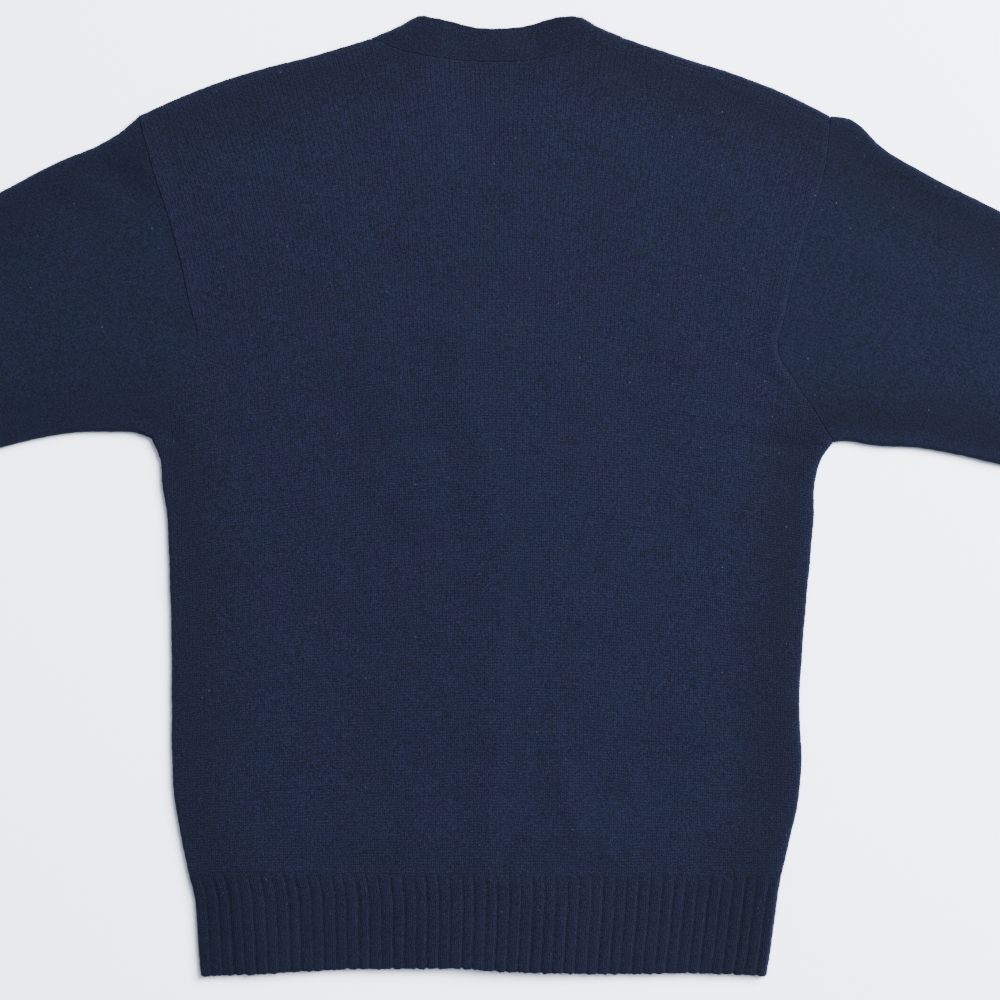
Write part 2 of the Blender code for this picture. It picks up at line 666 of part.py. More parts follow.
def add_buttons(horn):
    """Turned buttons under the outer band, dished side down."""
    top, rim = BUTTON_HEIGHT, BUTTON_RADIUS - BUTTON_CHAMFER
    dish = BUTTON_RADIUS - BUTTON_RIM
    profile = (
        (0.0, top),
        (rim, top),
        (BUTTON_RADIUS, top - BUTTON_CHAMFER),
        (BUTTON_RADIUS, BUTTON_CHAMFER),
        (rim, 0.0),
        (dish, 0.0),
        (dish - BUTTON_DISH, BUTTON_DISH),
        (0.0, BUTTON_DISH),
    )
    mesh = bpy.data.meshes.new("button")
    mesh.from_pydata([(r, 0.0, z) for r, z in profile], [(i, i + 1) for i in range(len(profile) - 1)], [])
    mesh.materials.append(horn)
    for number, y in enumerate(BUTTON_YS, start=1):
        button = bpy.data.objects.new(f"button_{number}", mesh)
        button.location = (float(placket_x(y)), y, 0.0)
        turn = button.modifiers.new("turn", "SCREW")
        turn.steps = turn.render_steps = BUTTON_STEPS
        turn.use_merge_vertices = True
        turn.merge_threshold = 1e-5
        turn.use_smooth_shade = False
        GARMENT.objects.link(button)


for old in list(bpy.data.objects):
    bpy.data.objects.remove(old)
GARMENT = bpy.data.collections.new("cardigan")
bpy.context.scene.collection.children.link(GARMENT)

navy_wool = add_material("navy_wool", NAVY, 0.95)
navy_button = add_material("navy_button", BUTTON_NAVY, 0.35)

add_back(navy_wool)
add_back_hem(navy_wool)
add_neck_band(navy_wool)
for which, word in ((LEFT, "left"), (RIGHT, "right")):
    add_front(which, f"{word}_front", navy_wool)
    add_front_hem(which, f"{word}_front_hem", navy_wool)
    add_front_band(which, f"{word}_front_band", navy_wool)
    add_sleeve(which, f"{word}_sleeve", navy_wool)
    add_cuff(which, f"{word}_cuff", navy_wool)
add_buttons(navy_button)
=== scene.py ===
"""A navy lambswool cardigan, buttoned up and laid face down on a pale surface, seen from above.

Metres, +Z up. +Y runs from the hem to the neck, and the back of the garment is on top. Each piece
of knit is a closed wall on a grid stretched between four lines of the garment's plan. The wall
turns down in a quarter circle at the garment's outline, and is raised by a crown, by folds and by
what lies under it.
"""

import math

import bmesh
import bpy
import numpy as np
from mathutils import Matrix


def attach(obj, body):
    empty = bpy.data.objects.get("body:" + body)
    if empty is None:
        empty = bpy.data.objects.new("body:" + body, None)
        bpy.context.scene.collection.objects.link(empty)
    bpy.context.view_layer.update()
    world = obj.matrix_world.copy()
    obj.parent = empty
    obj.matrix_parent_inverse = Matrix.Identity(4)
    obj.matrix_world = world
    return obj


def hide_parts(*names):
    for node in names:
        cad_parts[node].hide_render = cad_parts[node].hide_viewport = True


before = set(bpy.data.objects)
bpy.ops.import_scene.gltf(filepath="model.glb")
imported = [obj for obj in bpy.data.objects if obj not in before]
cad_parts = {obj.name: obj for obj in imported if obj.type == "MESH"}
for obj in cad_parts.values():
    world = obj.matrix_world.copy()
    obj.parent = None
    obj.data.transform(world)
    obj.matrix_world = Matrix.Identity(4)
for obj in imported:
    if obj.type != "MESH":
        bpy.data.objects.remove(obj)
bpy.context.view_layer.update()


# The surface it lies on: a sheet of smooth white backing paper, so large that none of its edges is
# seen. It is matt and gives no shine, only the garment's soft shadow.
PAPER_HALF, PAPER_TOP = 6, -0.0002


def linear(hex_colour):
    """An sRGB hex colour as linear red, green, blue and alpha: a line near black, then a power."""
    parts = [int(hex_colour[i : i + 2], 16) / 255 for i in (0, 2, 4)]
    return [p / 12.92 if p <= 0.04045 else ((p + 0.055) / 1.055) ** 2.4 for p in parts] + [1.0]


def new_material(name, roughness, specular, colour=None):
    """A node material, its Principled shader set to this gloss, and to a plain colour if given."""
    material = bpy.data.materials.new(name)
    material.use_nodes = True
    shader = material.node_tree.nodes["Principled BSDF"]
    shader.inputs["Roughness"].default_value = roughness
    shader.inputs["Specular IOR Level"].default_value = specular
    if colour:
        shader.inputs["Base Color"].default_value = linear(colour)
    return material


def add_object(name, data):
    """A new object at the origin for a mesh, a lamp or a camera."""
    made = bpy.data.objects.new(name, data)
    bpy.context.scene.collection.objects.link(made)
    return made


paper_mesh = bpy.data.meshes.new("surface")
signs = ((-1, -1), (1, -1), (1, 1), (-1, 1))
paper_corners = [(x * PAPER_HALF, y * PAPER_HALF, PAPER_TOP) for x, y in signs]
paper_mesh.from_pydata(paper_corners, [], [(0, 1, 2, 3)])
paper_mesh.materials.append(new_material("matt_backing_paper", 0.9, 0.2, "E6EDFB"))
surface = add_object("surface", paper_mesh)

# The camera looks straight down, square to the surface. 0.74 m of the surface fills the frame.
FRAME_WIDTH, FRAME_MIDDLE, FRAME_LEVEL = 0.740, (-0.0011, -0.0030), 0.004
LENS, SENSOR = 85.0, 36.0
view = bpy.data.cameras.new("camera")
view.lens, view.sensor_width = LENS, SENSOR
camera = add_object("camera", view)
camera.location = (*FRAME_MIDDLE, FRAME_LEVEL + FRAME_WIDTH * LENS / SENSOR)
bpy.context.scene.camera = camera

# Studio light: one large softbox, up to the right and beyond the neck, and pale walls all round.
SOFTBOX, SOFTBOX_SIDE, SOFTBOX_WATTS = np.array([2.00, 1.55, 2.80]), 2.4, 1070.0
WALL_LIGHT = 0.80
lamp = bpy.data.lights.new("softbox", "AREA")
lamp.shape, lamp.size, lamp.energy = "SQUARE", SOFTBOX_SIDE, SOFTBOX_WATTS
light = add_object("softbox", lamp)
light.location = SOFTBOX
tilt = math.atan2(math.hypot(*SOFTBOX[:2]), SOFTBOX[2])
light.rotation_euler = (0, tilt, math.atan2(SOFTBOX[1], SOFTBOX[0]))
walls = bpy.data.worlds.new("pale walls")
walls.use_nodes = True
walls.node_tree.nodes["Background"].inputs["Color"].default_value = linear("E9F1FF")
walls.node_tree.nodes["Background"].inputs["Strength"].default_value = WALL_LIGHT
bpy.context.scene.world = walls


# The back: one panel of stockinette knitted from the rib up to the shoulders in woollen-spun
# lambswool, then milled so that the stitches close up and bloom. It lies on the fronts and turns
# down to them in a soft roll at the sides and the shoulders.
CLOTH = 0.0026  # its thickness
SEAM_GAP = 0.0001  # between two pieces that are linked together
ROLL = 0.0036  # radius in which the upper layer turns down to the lower one
CROWN, CROWN_REACH = 0.0080, 0.035  # height of the upper layer, and how far in it gets there
WALE, COURSE = 0.0028, 0.0020  # one stitch across and up
HEM_SIDE = (  # left x, left y, right x, right y, from the hem up
    (-0.2226, -0.3550, 0.1962, -0.3550),
    (-0.2253, -0.3170, 0.2016, -0.3181),
    (-0.2271, -0.2956, 0.2044, -0.2961),
    (-0.2320, -0.2781, 0.2072, -0.2806),
)
BODY_SIDE = (
    (-0.2320, -0.2781, 0.2072, -0.2806),
    (-0.2366, -0.2547, 0.2133, -0.2548),
    (-0.2419, -0.2249, 0.2198, -0.2251),
    (-0.2439, -0.1900, 0.2222, -0.1950),
    (-0.2440, -0.1550, 0.2206, -0.1579),
    (-0.2442, -0.1060, 0.2234, -0.1060),
    (-0.2460, -0.0474, 0.2285, -0.0475),
    (-0.2472, -0.0177, 0.2311, -0.0178),
    (-0.2513, 0.0118, 0.2324, 0.0117),
    (-0.2525, 0.0267, 0.2361, 0.0261),
    (-0.2589, 0.0423, 0.2457, 0.0398),
)
ARMHOLE = (
    (-0.2589, 0.0423, 0.2457, 0.0398),
    (-0.2453, 0.0666, 0.2300, 0.0640),
    (-0.2305, 0.0873, 0.2165, 0.0851),
    (-0.2239, 0.1066, 0.2043, 0.1060),
    (-0.2305, 0.1436, 0.2091, 0.1339),
    (-0.2431, 0.1961, 0.2261, 0.1991),
    (-0.2579, 0.2435, 0.2390, 0.2440),
    (-0.2681, 0.2813, 0.2430, 0.2810),
)
SHOULDER = (
    (-0.2681, 0.2813, 0.2430, 0.2810),
    (-0.2381, 0.2950, 0.2213, 0.2924),
    (-0.1937, 0.3114, 0.1767, 0.3109),
    (-0.1344, 0.3272, 0.1324, 0.3250),
    (-0.0963, 0.3387, 0.0897, 0.3394),
)
NECK_FOLD = (
    (-0.0963, 0.3387, 0.0897, 0.3394),
    (-0.0766, 0.3471, 0.0731, 0.3465),
    (-0.0610, 0.3559, 0.0581, 0.3549),
)
SLEEVE_TOP = (
    (-0.2681, 0.2813, 0.2430, 0.2810),
    (-0.2796, 0.2711, 0.2549, 0.2801),
    (-0.2973, 0.2601, 0.2830, 0.2570),
    (-0.3270, 0.2478, 0.3085, 0.2417),
    (-0.3710, 0.2248, 0.3692, 0.2108),
    (-0.5420, 0.1470, 0.5410, 0.1355),
    (-0.6900, 0.0800, 0.6880, 0.0740),
    (-0.7159, 0.0627, 0.7149, 0.0555),
)
SLEEVE_UNDER = (
    (-0.2589, 0.0423, 0.2457, 0.0398),
    (-0.2678, 0.0460, 0.2540, 0.0406),
    (-0.2900, 0.0476, 0.2725, 0.0377),
    (-0.3266, 0.0457, 0.3096, 0.0354),
    (-0.3708, 0.0357, 0.3687, 0.0235),
    (-0.5230, 0.0020, 0.5220, -0.0085),
    (-0.6520, -0.0290, 0.6530, -0.0375),
    (-0.6827, -0.0317, 0.6835, -0.0395),
)
CUFF_TOP = ((-0.7159, 0.0627, 0.7149, 0.0555), (-0.7784, 0.0363, 0.7784, 0.0303))
CUFF_UNDER = ((-0.6827, -0.0317, 0.6835, -0.0395), (-0.7481, -0.0505, 0.7490, -0.0571))
NECK_SEAM = (  # x, y
    (-0.0963, 0.3387),
    (-0.0773, 0.3302),
    (-0.0588, 0.3256),
    (-0.0255, 0.3216),
    (0.0063, 0.3209),
    (0.0381, 0.3245),
    (0.0551, 0.3286),
    (0.0897, 0.3394),
)
PLACKET = (  # y, x of the middle of the button bands, hidden under the back
    (-0.3550, -0.0100),
    (-0.2500, -0.0070),
    (-0.1500, -0.0010),
    (-0.0770, -0.0010),
    (0.0040, -0.0070),
    (0.0820, -0.0263),
    (0.1000, -0.0292),
)

# What lies under the back and lifts or sinks it: the bands, buttoned, the V of the fronts, the rib
# that it blouses over, the swell of the cloth, and its folds.
BAND_WIDTH, V_SHARES = 0.030, (0.25, 0.6, 1.0)
TOP_BUTTON, BUTTON_PITCH, BUTTONS = 0.085, 0.080, 6
BUTTON_YS = TOP_BUTTON - BUTTON_PITCH * np.arange(BUTTONS)
BUTTON_LIFT = 0.0027  # of the cloth over a button
MOUND_LEVEL, MOUND_REACH, MOUND_NARROWS = 0.026, 0.078, 0.6  # of the back over a button
PARTING_START, PARTING_END = 0.170, 0.220  # heights between which the stacked bands part
RIDGE, RIDGE_LEFT, RIDGE_RIGHT = 0.0014, 0.036, ((0.6, 0.012), (0.4, 0.050))  # over the bands
RIDGE_START, RIDGE_EASE = -0.310, 0.045  # it rises from the rib
SAG, SAG_SIDE, SAG_EASE = 0.0020, 0.030, 0.050  # into the V of the fronts
BLOUSE, BLOUSE_Y, BLOUSE_REACH = 0.0013, -0.250, 0.030  # over the rib
FOLD_EASE = 0.010  # distance from the outline over which a fold comes up
SWELL = 0.0022  # height of a wave for each metre of the waves' length
SWELL_WAVES = (  # direction in radians, length, start
    (0.3, 0.071, 0.5),
    (1.2, 0.053, 2.1),
    (2.0, 0.087, 4.0),
    (2.7, 0.046, 1.2),
    (0.8, 0.037, 5.1),
)
FOLDS = (  # middle x, y, direction in degrees, half length, half width, height
    (0.2080, 0.0370, -4, 0.050, 0.0085, -0.0026),  # creases from the right underarm
    (0.2080, 0.0170, -4, 0.045, 0.0130, -0.0014),
    (0.2468, 0.0440, -5, 0.018, 0.0050, -0.0017),
    (0.1802, 0.0636, -15, 0.045, 0.0050, -0.0007),
    (0.1940, 0.0890, -35, 0.030, 0.0040, -0.0006),
    (0.1728, 0.0992, -30, 0.050, 0.0040, -0.0005),
    (0.1500, 0.0480, -4, 0.040, 0.0045, -0.0005),
    (0.2435, 0.0680, -31, 0.028, 0.0016, 0.0006),  # the sleeve's seam under the right arm
    (-0.2460, 0.0440, -20, 0.020, 0.0060, -0.0015),  # creases from the left underarm
    (-0.2712, 0.0560, -10, 0.018, 0.0060, -0.0014),
    (-0.1950, 0.0420, 6, 0.036, 0.0050, -0.0005),
    (-0.2050, 0.0700, 22, 0.028, 0.0040, -0.0005),
    (-0.2601, 0.2449, -75, 0.050, 0.0130, 0.0022),  # head of the left sleeve
    (-0.2800, 0.2310, -36, 0.056, 0.0120, -0.0024),
    (-0.3130, 0.2120, -17, 0.048, 0.0120, -0.0012),
    (-0.3000, 0.1000, -40, 0.040, 0.0070, -0.0006),
    (0.3060, 0.2200, -31, 0.075, 0.0120, -0.0010),  # along the top of the right sleeve
    (0.3000, 0.1550, -38, 0.060, 0.0140, 0.0008),
    (0.2850, 0.0900, 35, 0.040, 0.0070, -0.0006),
    (0.0500, -0.2250, -74, 0.066, 0.0095, 0.0018),  # gathers over the rib
    (0.0951, -0.2028, -80, 0.028, 0.0080, 0.0013),
    (0.0760, -0.2650, -85, 0.016, 0.0055, 0.0011),
    (0.1450, -0.2520, 84, 0.024, 0.0060, -0.0005),
    (-0.1330, -0.2400, 88, 0.034, 0.0100, -0.0009),
    (-0.0260, -0.2540, 70, 0.028, 0.0090, -0.0009),
    (-0.0800, -0.2540, 84, 0.022, 0.0050, -0.0006),
    (-0.1750, -0.2480, 94, 0.026, 0.0060, -0.0005),
    (0.0120, -0.2560, 80, 0.022, 0.0050, -0.0006),
)


def smooth(t):
    """Eased step from 0 to 1: three times t squared, less twice t cubed."""
    t = np.clip(t, 0.0, 1.0)
    return t * t * (3.0 - 2.0 * t)


def curve(points, pieces=12):
    """Line through the points: each stretch is a Hermite cubic with Catmull-Rom tangents."""
    points = np.asarray(points, float)
    ends = np.vstack([2 * points[0] - points[1], points, 2 * points[-1] - points[-2]])
    chord = np.linalg.norm(np.diff(ends, axis=0), axis=1)
    line = [points[:1]]
    for i in range(len(points) - 1):
        before, start, end, after = ends[i : i + 4]
        a, b, c = chord[i : i + 3]
        leave = ((start - before) / a * b + (end - start) / b * a) / (a + b) * b
        arrive = ((end - start) / b * c + (after - end) / c * b) / (b + c) * b
        t = np.linspace(0, 1, pieces + 1)[1:, None]
        line.append(
            (2 * t**3 - 3 * t**2 + 1) * start
            + (t**3 - 2 * t**2 + t) * leave
            + (3 * t**2 - 2 * t**3) * end
            + (t**3 - t**2) * arrive
        )
    return np.vstack(line)


def lengths(line):
    """Distance along a line at each of its points: the sum of the steps before it."""
    return np.concatenate([[0.0], np.cumsum(np.linalg.norm(np.diff(line, axis=0), axis=1))])


def at(line, shares):
    """Points of a line at these shares of its length, read off between its own points."""
    run = lengths(line)
    reached = np.asarray(shares) * run[-1]
    return np.stack([np.interp(reached, run, line[:, k]) for k in range(2)], axis=-1)


CLOSE = np.array([0.0, 0.25, 0.6, 1.0, 1.5, 2.1, 2.8, 3.6, 4.8, 6.2, 8.0]) / 1000


def shares(length, pitch, first=True, last=True):
    """Shares of a length: evenly about a pitch apart, and closer at edges that turn or are sewn."""
    start, end = CLOSE if first else CLOSE[:1], CLOSE if last else CLOSE[:1]
    count = int(round((length - start[-1] - end[-1]) / pitch))
    inner = np.linspace(start[-1], length - end[-1], count + 1)[1:-1]
    return np.concatenate([start, inner, length - end[::-1]]) / length


def coons(south, north, west, east):
    """Coons patch: the blends between both pairs of opposite edges, less that of the corners."""
    across, up = ([lengths(line) for line in pair] for pair in ((south, north), (west, east)))
    u = (across[0] / across[0][-1] + across[1] / across[1][-1])[None, :, None] / 2
    v = (up[0] / up[0][-1] + up[1] / up[1][-1])[:, None, None] / 2
    below = (1 - u) * south[0] + u * south[-1]
    above = (1 - u) * north[0] + u * north[-1]
    corners = (1 - v) * below + v * above
    return (1 - v) * south + v * north + (1 - u) * west[:, None] + u * east[:, None] - corners


def nearest(line, xy):
    """Distance of each point from a line, and the unit way from the line to the point.

    Each of the line's steps is tried, and the closest kept. On the line itself the way is the
    normal to the left of its run.
    """
    flat = xy.reshape(-1, 2)
    best = np.full(len(flat), np.inf)
    way = np.zeros_like(flat)
    for start, end in zip(line[:-1], line[1:]):
        step = end - start
        size = math.hypot(*step)
        if size < 1e-9:
            continue
        share = np.clip((flat - start) @ step / size**2, 0, 1)
        off = flat - start - share[:, None] * step
        apart = np.hypot(off[:, 0], off[:, 1])
        closer = apart < best - 1e-12
        best[closer] = apart[closer]
        normal = np.array([-step[1], step[0]]) / size
        far = apart[closer, None] > 2e-5
        way[closer] = np.where(far, off[closer] / np.maximum(apart[closer, None], 1e-9), normal)
    return best.reshape(xy.shape[:-1]), way.reshape(xy.shape)


def both_sides(table):
    """The curves through a table's points on the left and on the right."""
    return [curve([row[2 * side : 2 * side + 2] for row in table]) for side in (0, 1)]


hem_side, body_side, armhole = both_sides(HEM_SIDE), both_sides(BODY_SIDE), both_sides(ARMHOLE)
shoulder, neck_fold = both_sides(SHOULDER), both_sides(NECK_FOLD)
sleeve_top, sleeve_under = both_sides(SLEEVE_TOP), both_sides(SLEEVE_UNDER)
cuff_top, cuff_under = both_sides(CUFF_TOP), both_sides(CUFF_UNDER)
neck_seam = curve(NECK_SEAM)
rib_seam = np.linspace(body_side[0][0], body_side[1][0], 3)
rolled = []  # the lines round which the cloth turns, each with the garment on its left
for side in (0, 1):
    below, above = (
        np.vstack([lines[0]] + [line[1:] for line in lines[1:]])
        for lines in (
            (hem_side[side], body_side[side], sleeve_under[side], cuff_under[side]),
            (neck_fold[side][::-1], shoulder[side][::-1], sleeve_top[side], cuff_top[side]),
        )
    )
    for line, keep in ((below, side == 1), (above, side == 0)):
        line = np.vstack([2 * line[0] - line[1], line, 2 * line[-1] - line[-2]])
        rolled.append(line if keep else line[::-1])


def placket_x(y):
    """X of the middle of the button bands, read off the placket's curve."""
    line = curve([(x, height) for height, x in PLACKET])
    return np.interp(y, line[:, 1], line[:, 0])


def band_edge(side, sewn):
    """Edge of a band, hem to neck: beside the placket's middle, then straight up a leg of the V."""
    outward = -1 if (side == 0) == sewn else 1
    end = neck_fold[side][0 if sewn else -1]
    points = [(float(placket_x(y)) + outward * BAND_WIDTH / 2, y) for y, _ in PLACKET]
    start = np.array(points[-1])
    return curve(points + [tuple(start + share * (end - start)) for share in V_SHARES])


def stacking(y):
    """1 where the right band lies on the left one, easing to 0 where they have parted."""
    return 1 - smooth((y - PARTING_START) / (PARTING_END - PARTING_START))


def button_lift(xy, level, reach, narrows=1.0):
    """Share of a button's height by which it raises the cloth: 1 up to level, easing to 0 at reach.

    Where the nearest two overlap, the higher counts. An oval is 1 / narrows as wide as it is long.
    """
    lift = np.zeros(xy.shape[:-1])
    for y in BUTTON_YS:
        away = np.hypot((xy[..., 0] - placket_x(y)) * narrows, xy[..., 1] - y)
        lift = np.maximum(lift, 1 - smooth((away - level) / (reach - level)))
    return lift


def rise(xy, distance):
    """Height of the upper layer over its roll: the sum of all that lifts and lowers it.

    A crown eases up from the outline. The stacked bands push a ridge up the middle, one eased flank
    on its left and two steeper ones, added by their shares, on its right, and each button a mound.
    The neck sags into the V, and the back blouses over its rib. The swell is a sum of sines, each
    as high as it is long. A fold is a bump with an eased length and a bell across.
    """
    x, y = xy[..., 0], xy[..., 1]
    inside = smooth((distance - ROLL) / CROWN_REACH)
    height = (CROWN - 2 * ROLL) * inside
    edges = (band_edge(1, True), band_edge(1, False), band_edge(0, False))
    sewn, free, left = (np.interp(y, edge[:, 1], edge[:, 0]) for edge in edges)
    off = x - (sewn + free) / 2
    steep = sum(share * smooth(1 - off / reach) for share, reach in RIDGE_RIGHT)
    ridge = np.where(off < 0, smooth(1 + off / RIDGE_LEFT), steep)
    height += RIDGE * stacking(y) * smooth((y - RIDGE_START) / RIDGE_EASE) * ridge
    height += BUTTON_LIFT * button_lift(xy, MOUND_LEVEL, MOUND_REACH, MOUND_NARROWS)
    room = np.minimum(x - left, free - x)
    height -= SAG * inside * smooth(room / SAG_SIDE) * smooth((y - PARTING_END) / SAG_EASE)
    height += BLOUSE * inside * smooth(1 - np.abs(y - BLOUSE_Y) / BLOUSE_REACH)
    swell = np.zeros_like(x)
    for turn, wave, start in SWELL_WAVES:
        along = x * math.cos(turn) + y * math.sin(turn)
        swell += wave * np.sin(along * 2 * math.pi / wave + start)
    height += SWELL * inside * swell
    for middle_x, middle_y, angle, half_length, half_width, size in FOLDS:
        c, s = math.cos(math.radians(angle)), math.sin(math.radians(angle))
        along = (x - middle_x) * c + (y - middle_y) * s
        across = (y - middle_y) * c - (x - middle_x) * s
        bump = smooth(1 - np.abs(along) / half_length) * np.exp(-((across / half_width) ** 2))
        height += size * bump * smooth((distance - ROLL) / FOLD_EASE)
    return height


RIPPLE = 0.00012


def ripple(xy):
    """Unevenness of soft cloth: each way a sine of 4 cm plus one of 1 cm, 0.24 mm in all."""
    x, y = xy[..., 0], xy[..., 1]
    dx = RIPPLE * np.sin(170 * y + 40 * x + 1.0) + RIPPLE * np.sin(691 * y - 75 * x + 2.3)
    dy = RIPPLE * np.sin(152 * x - 35 * y + 0.4) + RIPPLE * np.sin(577 * x + 68 * y + 4.1)
    return np.stack([dx, dy], axis=-1)


def tangents(line):
    """Unit directions along a line: the slope of its points over its length, made one long."""
    along = np.gradient(line, lengths(line), axis=0)
    return along / np.linalg.norm(along, axis=1, keepdims=True)


CROSSES = 0.3  # how far a grid line leans to a rolled line where it crosses it
MOST_DRAWN = 0.47  # share of the wall by which each skin may draw in
# Painted shade: a darker colour beside each rolled line, for the shade where the cloth turns down,
# and beside the neck's seam. For each line there is a share and the distance over which it eases
# in, then where it starts to fade and over how far, and then the same for the neck.
EDGE_SHADE = ((0.65, 0.006), (0.85, 0.014), (1.15, 0.016), (1.15, 0.012))  # beside each rolled line
EDGE_SHADE_LEVEL, EDGE_SHADE_REACH = 0.012, 0.055
NECK_SHADE, NECK_SHADE_REACH = 0.45, 0.040


def skins(plan, wall, upper, seams=(), frees=(), raised=0.0, lift=0.0, across=()):
    """Outer and inner points of a wall of cloth, its plan unrolled flat, and its painted shade.

    The wall turns round the rolled lines in a quarter circle, and unrolls by what the arc is longer
    than its shadow. At a sewn or free edge both skins draw together by a quarter circle, whose
    radius may change along the edge. A seam gives the grid's border that is sewn, which moves in by
    half the seam's gap, the grid line beside it, its line and its radius. across holds the grid
    lines on which the inner skin is set back along them where they cross a rolled line. Painted
    shade, a darker colour for the shade where the cloth turns down, lies in a strip beside each
    rolled line, by a share that eases in and out, and beside the neck's seam.
    """
    plan = plan.copy()
    for border, beside, _, _ in seams:
        along = tangents(plan[border])
        normal = np.stack([-along[:, 1], along[:, 0]], axis=-1)
        normal *= np.sign(np.sum(normal * (plan[beside] - plan[border]), axis=1, keepdims=True))
        plan[border] += normal * SEAM_GAP / 2
    reads = [nearest(line, plan) for line in rolled]
    pick = np.argmin([read[0] for read in reads], axis=0)
    distance = np.choose(pick, [read[0] for read in reads])
    inward = np.choose(pick[..., None], [read[1] for read in reads])
    cosine = np.clip(1 - distance / ROLL, 0, 1)
    sine = np.sqrt(1 - cosine**2)
    way = inward.copy()
    for line in across:
        along = tangents(plan[line])
        lean = np.sum(along * inward[line], axis=1, keepdims=True)
        follows = np.abs(lean) > CROSSES
        way[line] = np.where(follows, along / np.where(follows, lean, 1), inward[line])
    drawn = np.zeros_like(distance)
    for line, radius in [seam[2:] for seam in seams] + list(frees):
        e = np.clip(radius - nearest(line, plan)[0], 0, radius)
        drawn = np.maximum(drawn, radius - np.sqrt(radius**2 - e**2))
    drawn = np.minimum(drawn, wall * MOST_DRAWN)
    if upper:
        z = ROLL + SEAM_GAP / 2 + ROLL * sine + rise(plan, distance)
        outside = z + (raised - drawn) * sine
        inside = z - (wall - drawn) * sine
    else:
        z = (ROLL - SEAM_GAP / 2) * (1 - sine) + lift
        outside = z + (raised + drawn) * sine
        inside = z + (wall - drawn) * sine
    shift = ripple(plan)
    outer = plan + shift + inward * (drawn * cosine)[..., None]
    inner = plan + shift + way * ((wall - drawn) * cosine)[..., None]
    outer = np.concatenate([outer, outside[..., None]], axis=-1)
    inner = np.concatenate([inner, inside[..., None]], axis=-1)
    flat = plan - inward * (ROLL * (np.arcsin(cosine) - cosine))[..., None]
    # Painted shade, a darker colour beside the neck's seam and in a strip beside each rolled line
    painted_shade = NECK_SHADE * (1 - smooth(nearest(neck_seam, plan)[0] / NECK_SHADE_REACH))
    for read, (share, start) in zip(reads, EDGE_SHADE):
        strip = smooth(read[0] / start) * (1 - smooth((read[0] - EDGE_SHADE_LEVEL) / EDGE_SHADE_REACH))
        painted_shade = np.maximum(painted_shade, share * strip)
    return outer, inner, flat, painted_shade


FAN, SPREAD, ARCH, ARCH_GAIN = 2.4, 0.12, 0.42, 1.37  # read off the wales and courses


def body_stitches(flat):
    """Wales and courses over the body, one to a stitch.

    The wales fan out above the underarms as the square of the height, and the courses arch up
    as the square of the distance from the middle, the more the higher they are.
    """
    x, y = flat[..., 0], flat[..., 1]
    wales = x * (1 - FAN * np.maximum(y, 0) ** 2) / WALE
    courses = (y + SPREAD * y**2 + (ARCH + ARCH_GAIN * y) * x**2) / COURSE
    return np.stack([wales, courses], axis=-1)


def wool_piece(name, points, faces, material, smoothed=True):
    """A piece of the garment's wool: a mesh of these points and faces, riding with the rest."""
    mesh = bpy.data.meshes.new(name)
    mesh.from_pydata(points, [], faces)
    mesh.update()
    if smoothed:
        mesh.shade_smooth()
    mesh.materials.append(material)
    piece = add_object(name, mesh)
    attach(piece, "root")
    return piece


def grid_quads(number):
    """Corner numbers of the quads between neighbouring rows and columns of a numbered grid."""
    corners = [number[:-1, :-1], number[:-1, 1:], number[1:, 1:], number[1:, :-1]]
    return np.stack(corners, axis=-1).reshape(-1, 4)


def wall_mesh(name, outer, inner, stitches, painted_shade, knit, ring=False):
    """Closed wall: the outer grid, the inner grid turned over, and strips round their borders.

    In a ring the last column is the first one again. stitches holds the knit's wale and course at
    each grid point, and becomes the UV map. The grid after it is the painted shade, a darker
    colour for shade: 1 where it is full, easing to 0.
    """
    rows, columns = outer.shape[:2]
    count = rows * columns
    number = np.arange(count).reshape(rows, columns)
    quads = grid_quads(number)
    faces = [quads, quads[:, ::-1] + count]
    loop = np.concatenate([number[0], number[1:, -1], number[-1, -2::-1], number[-2::-1, 0]])
    for line in (number[0], number[-1][::-1]) if ring else (loop,):
        faces.append(np.stack([line[1:], line[:-1], line[:-1] + count, line[1:] + count], axis=-1))
    faces = np.vstack(faces)
    corner_uv = np.concatenate([stitches.reshape(-1, 2)] * 2)[faces.ravel()]
    joined = np.arange(2 * count).reshape(2, rows, columns)
    if ring:
        joined[:, :, -1] = joined[:, :, 0]
    used, faces = np.unique(joined.ravel()[faces.ravel()], return_inverse=True)
    faces = faces.reshape(-1, 4)
    points = np.concatenate([outer.reshape(-1, 3), inner.reshape(-1, 3)])[used]
    a, b, c, d = (points[faces[:, k]] for k in range(4))
    if np.sum(a * np.cross(b - a, c - a)) + np.sum(a * np.cross(c - a, d - a)) < 0:  # inside out
        faces, corner_uv = faces[:, ::-1], corner_uv.reshape(-1, 4, 2)[:, ::-1].reshape(-1, 2)
    piece = wool_piece(name, points, faces, knit)
    layer = piece.data.uv_layers.new(name="stitches")
    layer.data.foreach_set("uv", corner_uv.astype(np.float32).ravel())
    # The painted shade goes on the mesh, for the knit's colour to darken by
    shade_paint = piece.data.attributes.new("painted_shade", "FLOAT", "POINT")
    shade_paint.data.foreach_set("value", np.concatenate([painted_shade.ravel()] * 2)[used].astype(np.float32))
    return piece


def node(tree, kind, inputs=(), **settings):
    """Adds a shader node with its settings and links, and gives its outputs.

    inputs holds the values of its first sockets in their order, or names or numbers each socket. A
    value is a number, a colour or another node's output.
    """
    new = tree.nodes.new("ShaderNode" + kind)
    for key, value in settings.items():
        setattr(new, key, value)
    for key, value in inputs.items() if isinstance(inputs, dict) else enumerate(inputs):
        if isinstance(value, bpy.types.NodeSocket):
            tree.links.new(value, new.inputs[key])
        else:
            new.inputs[key].default_value = value
    return new.outputs


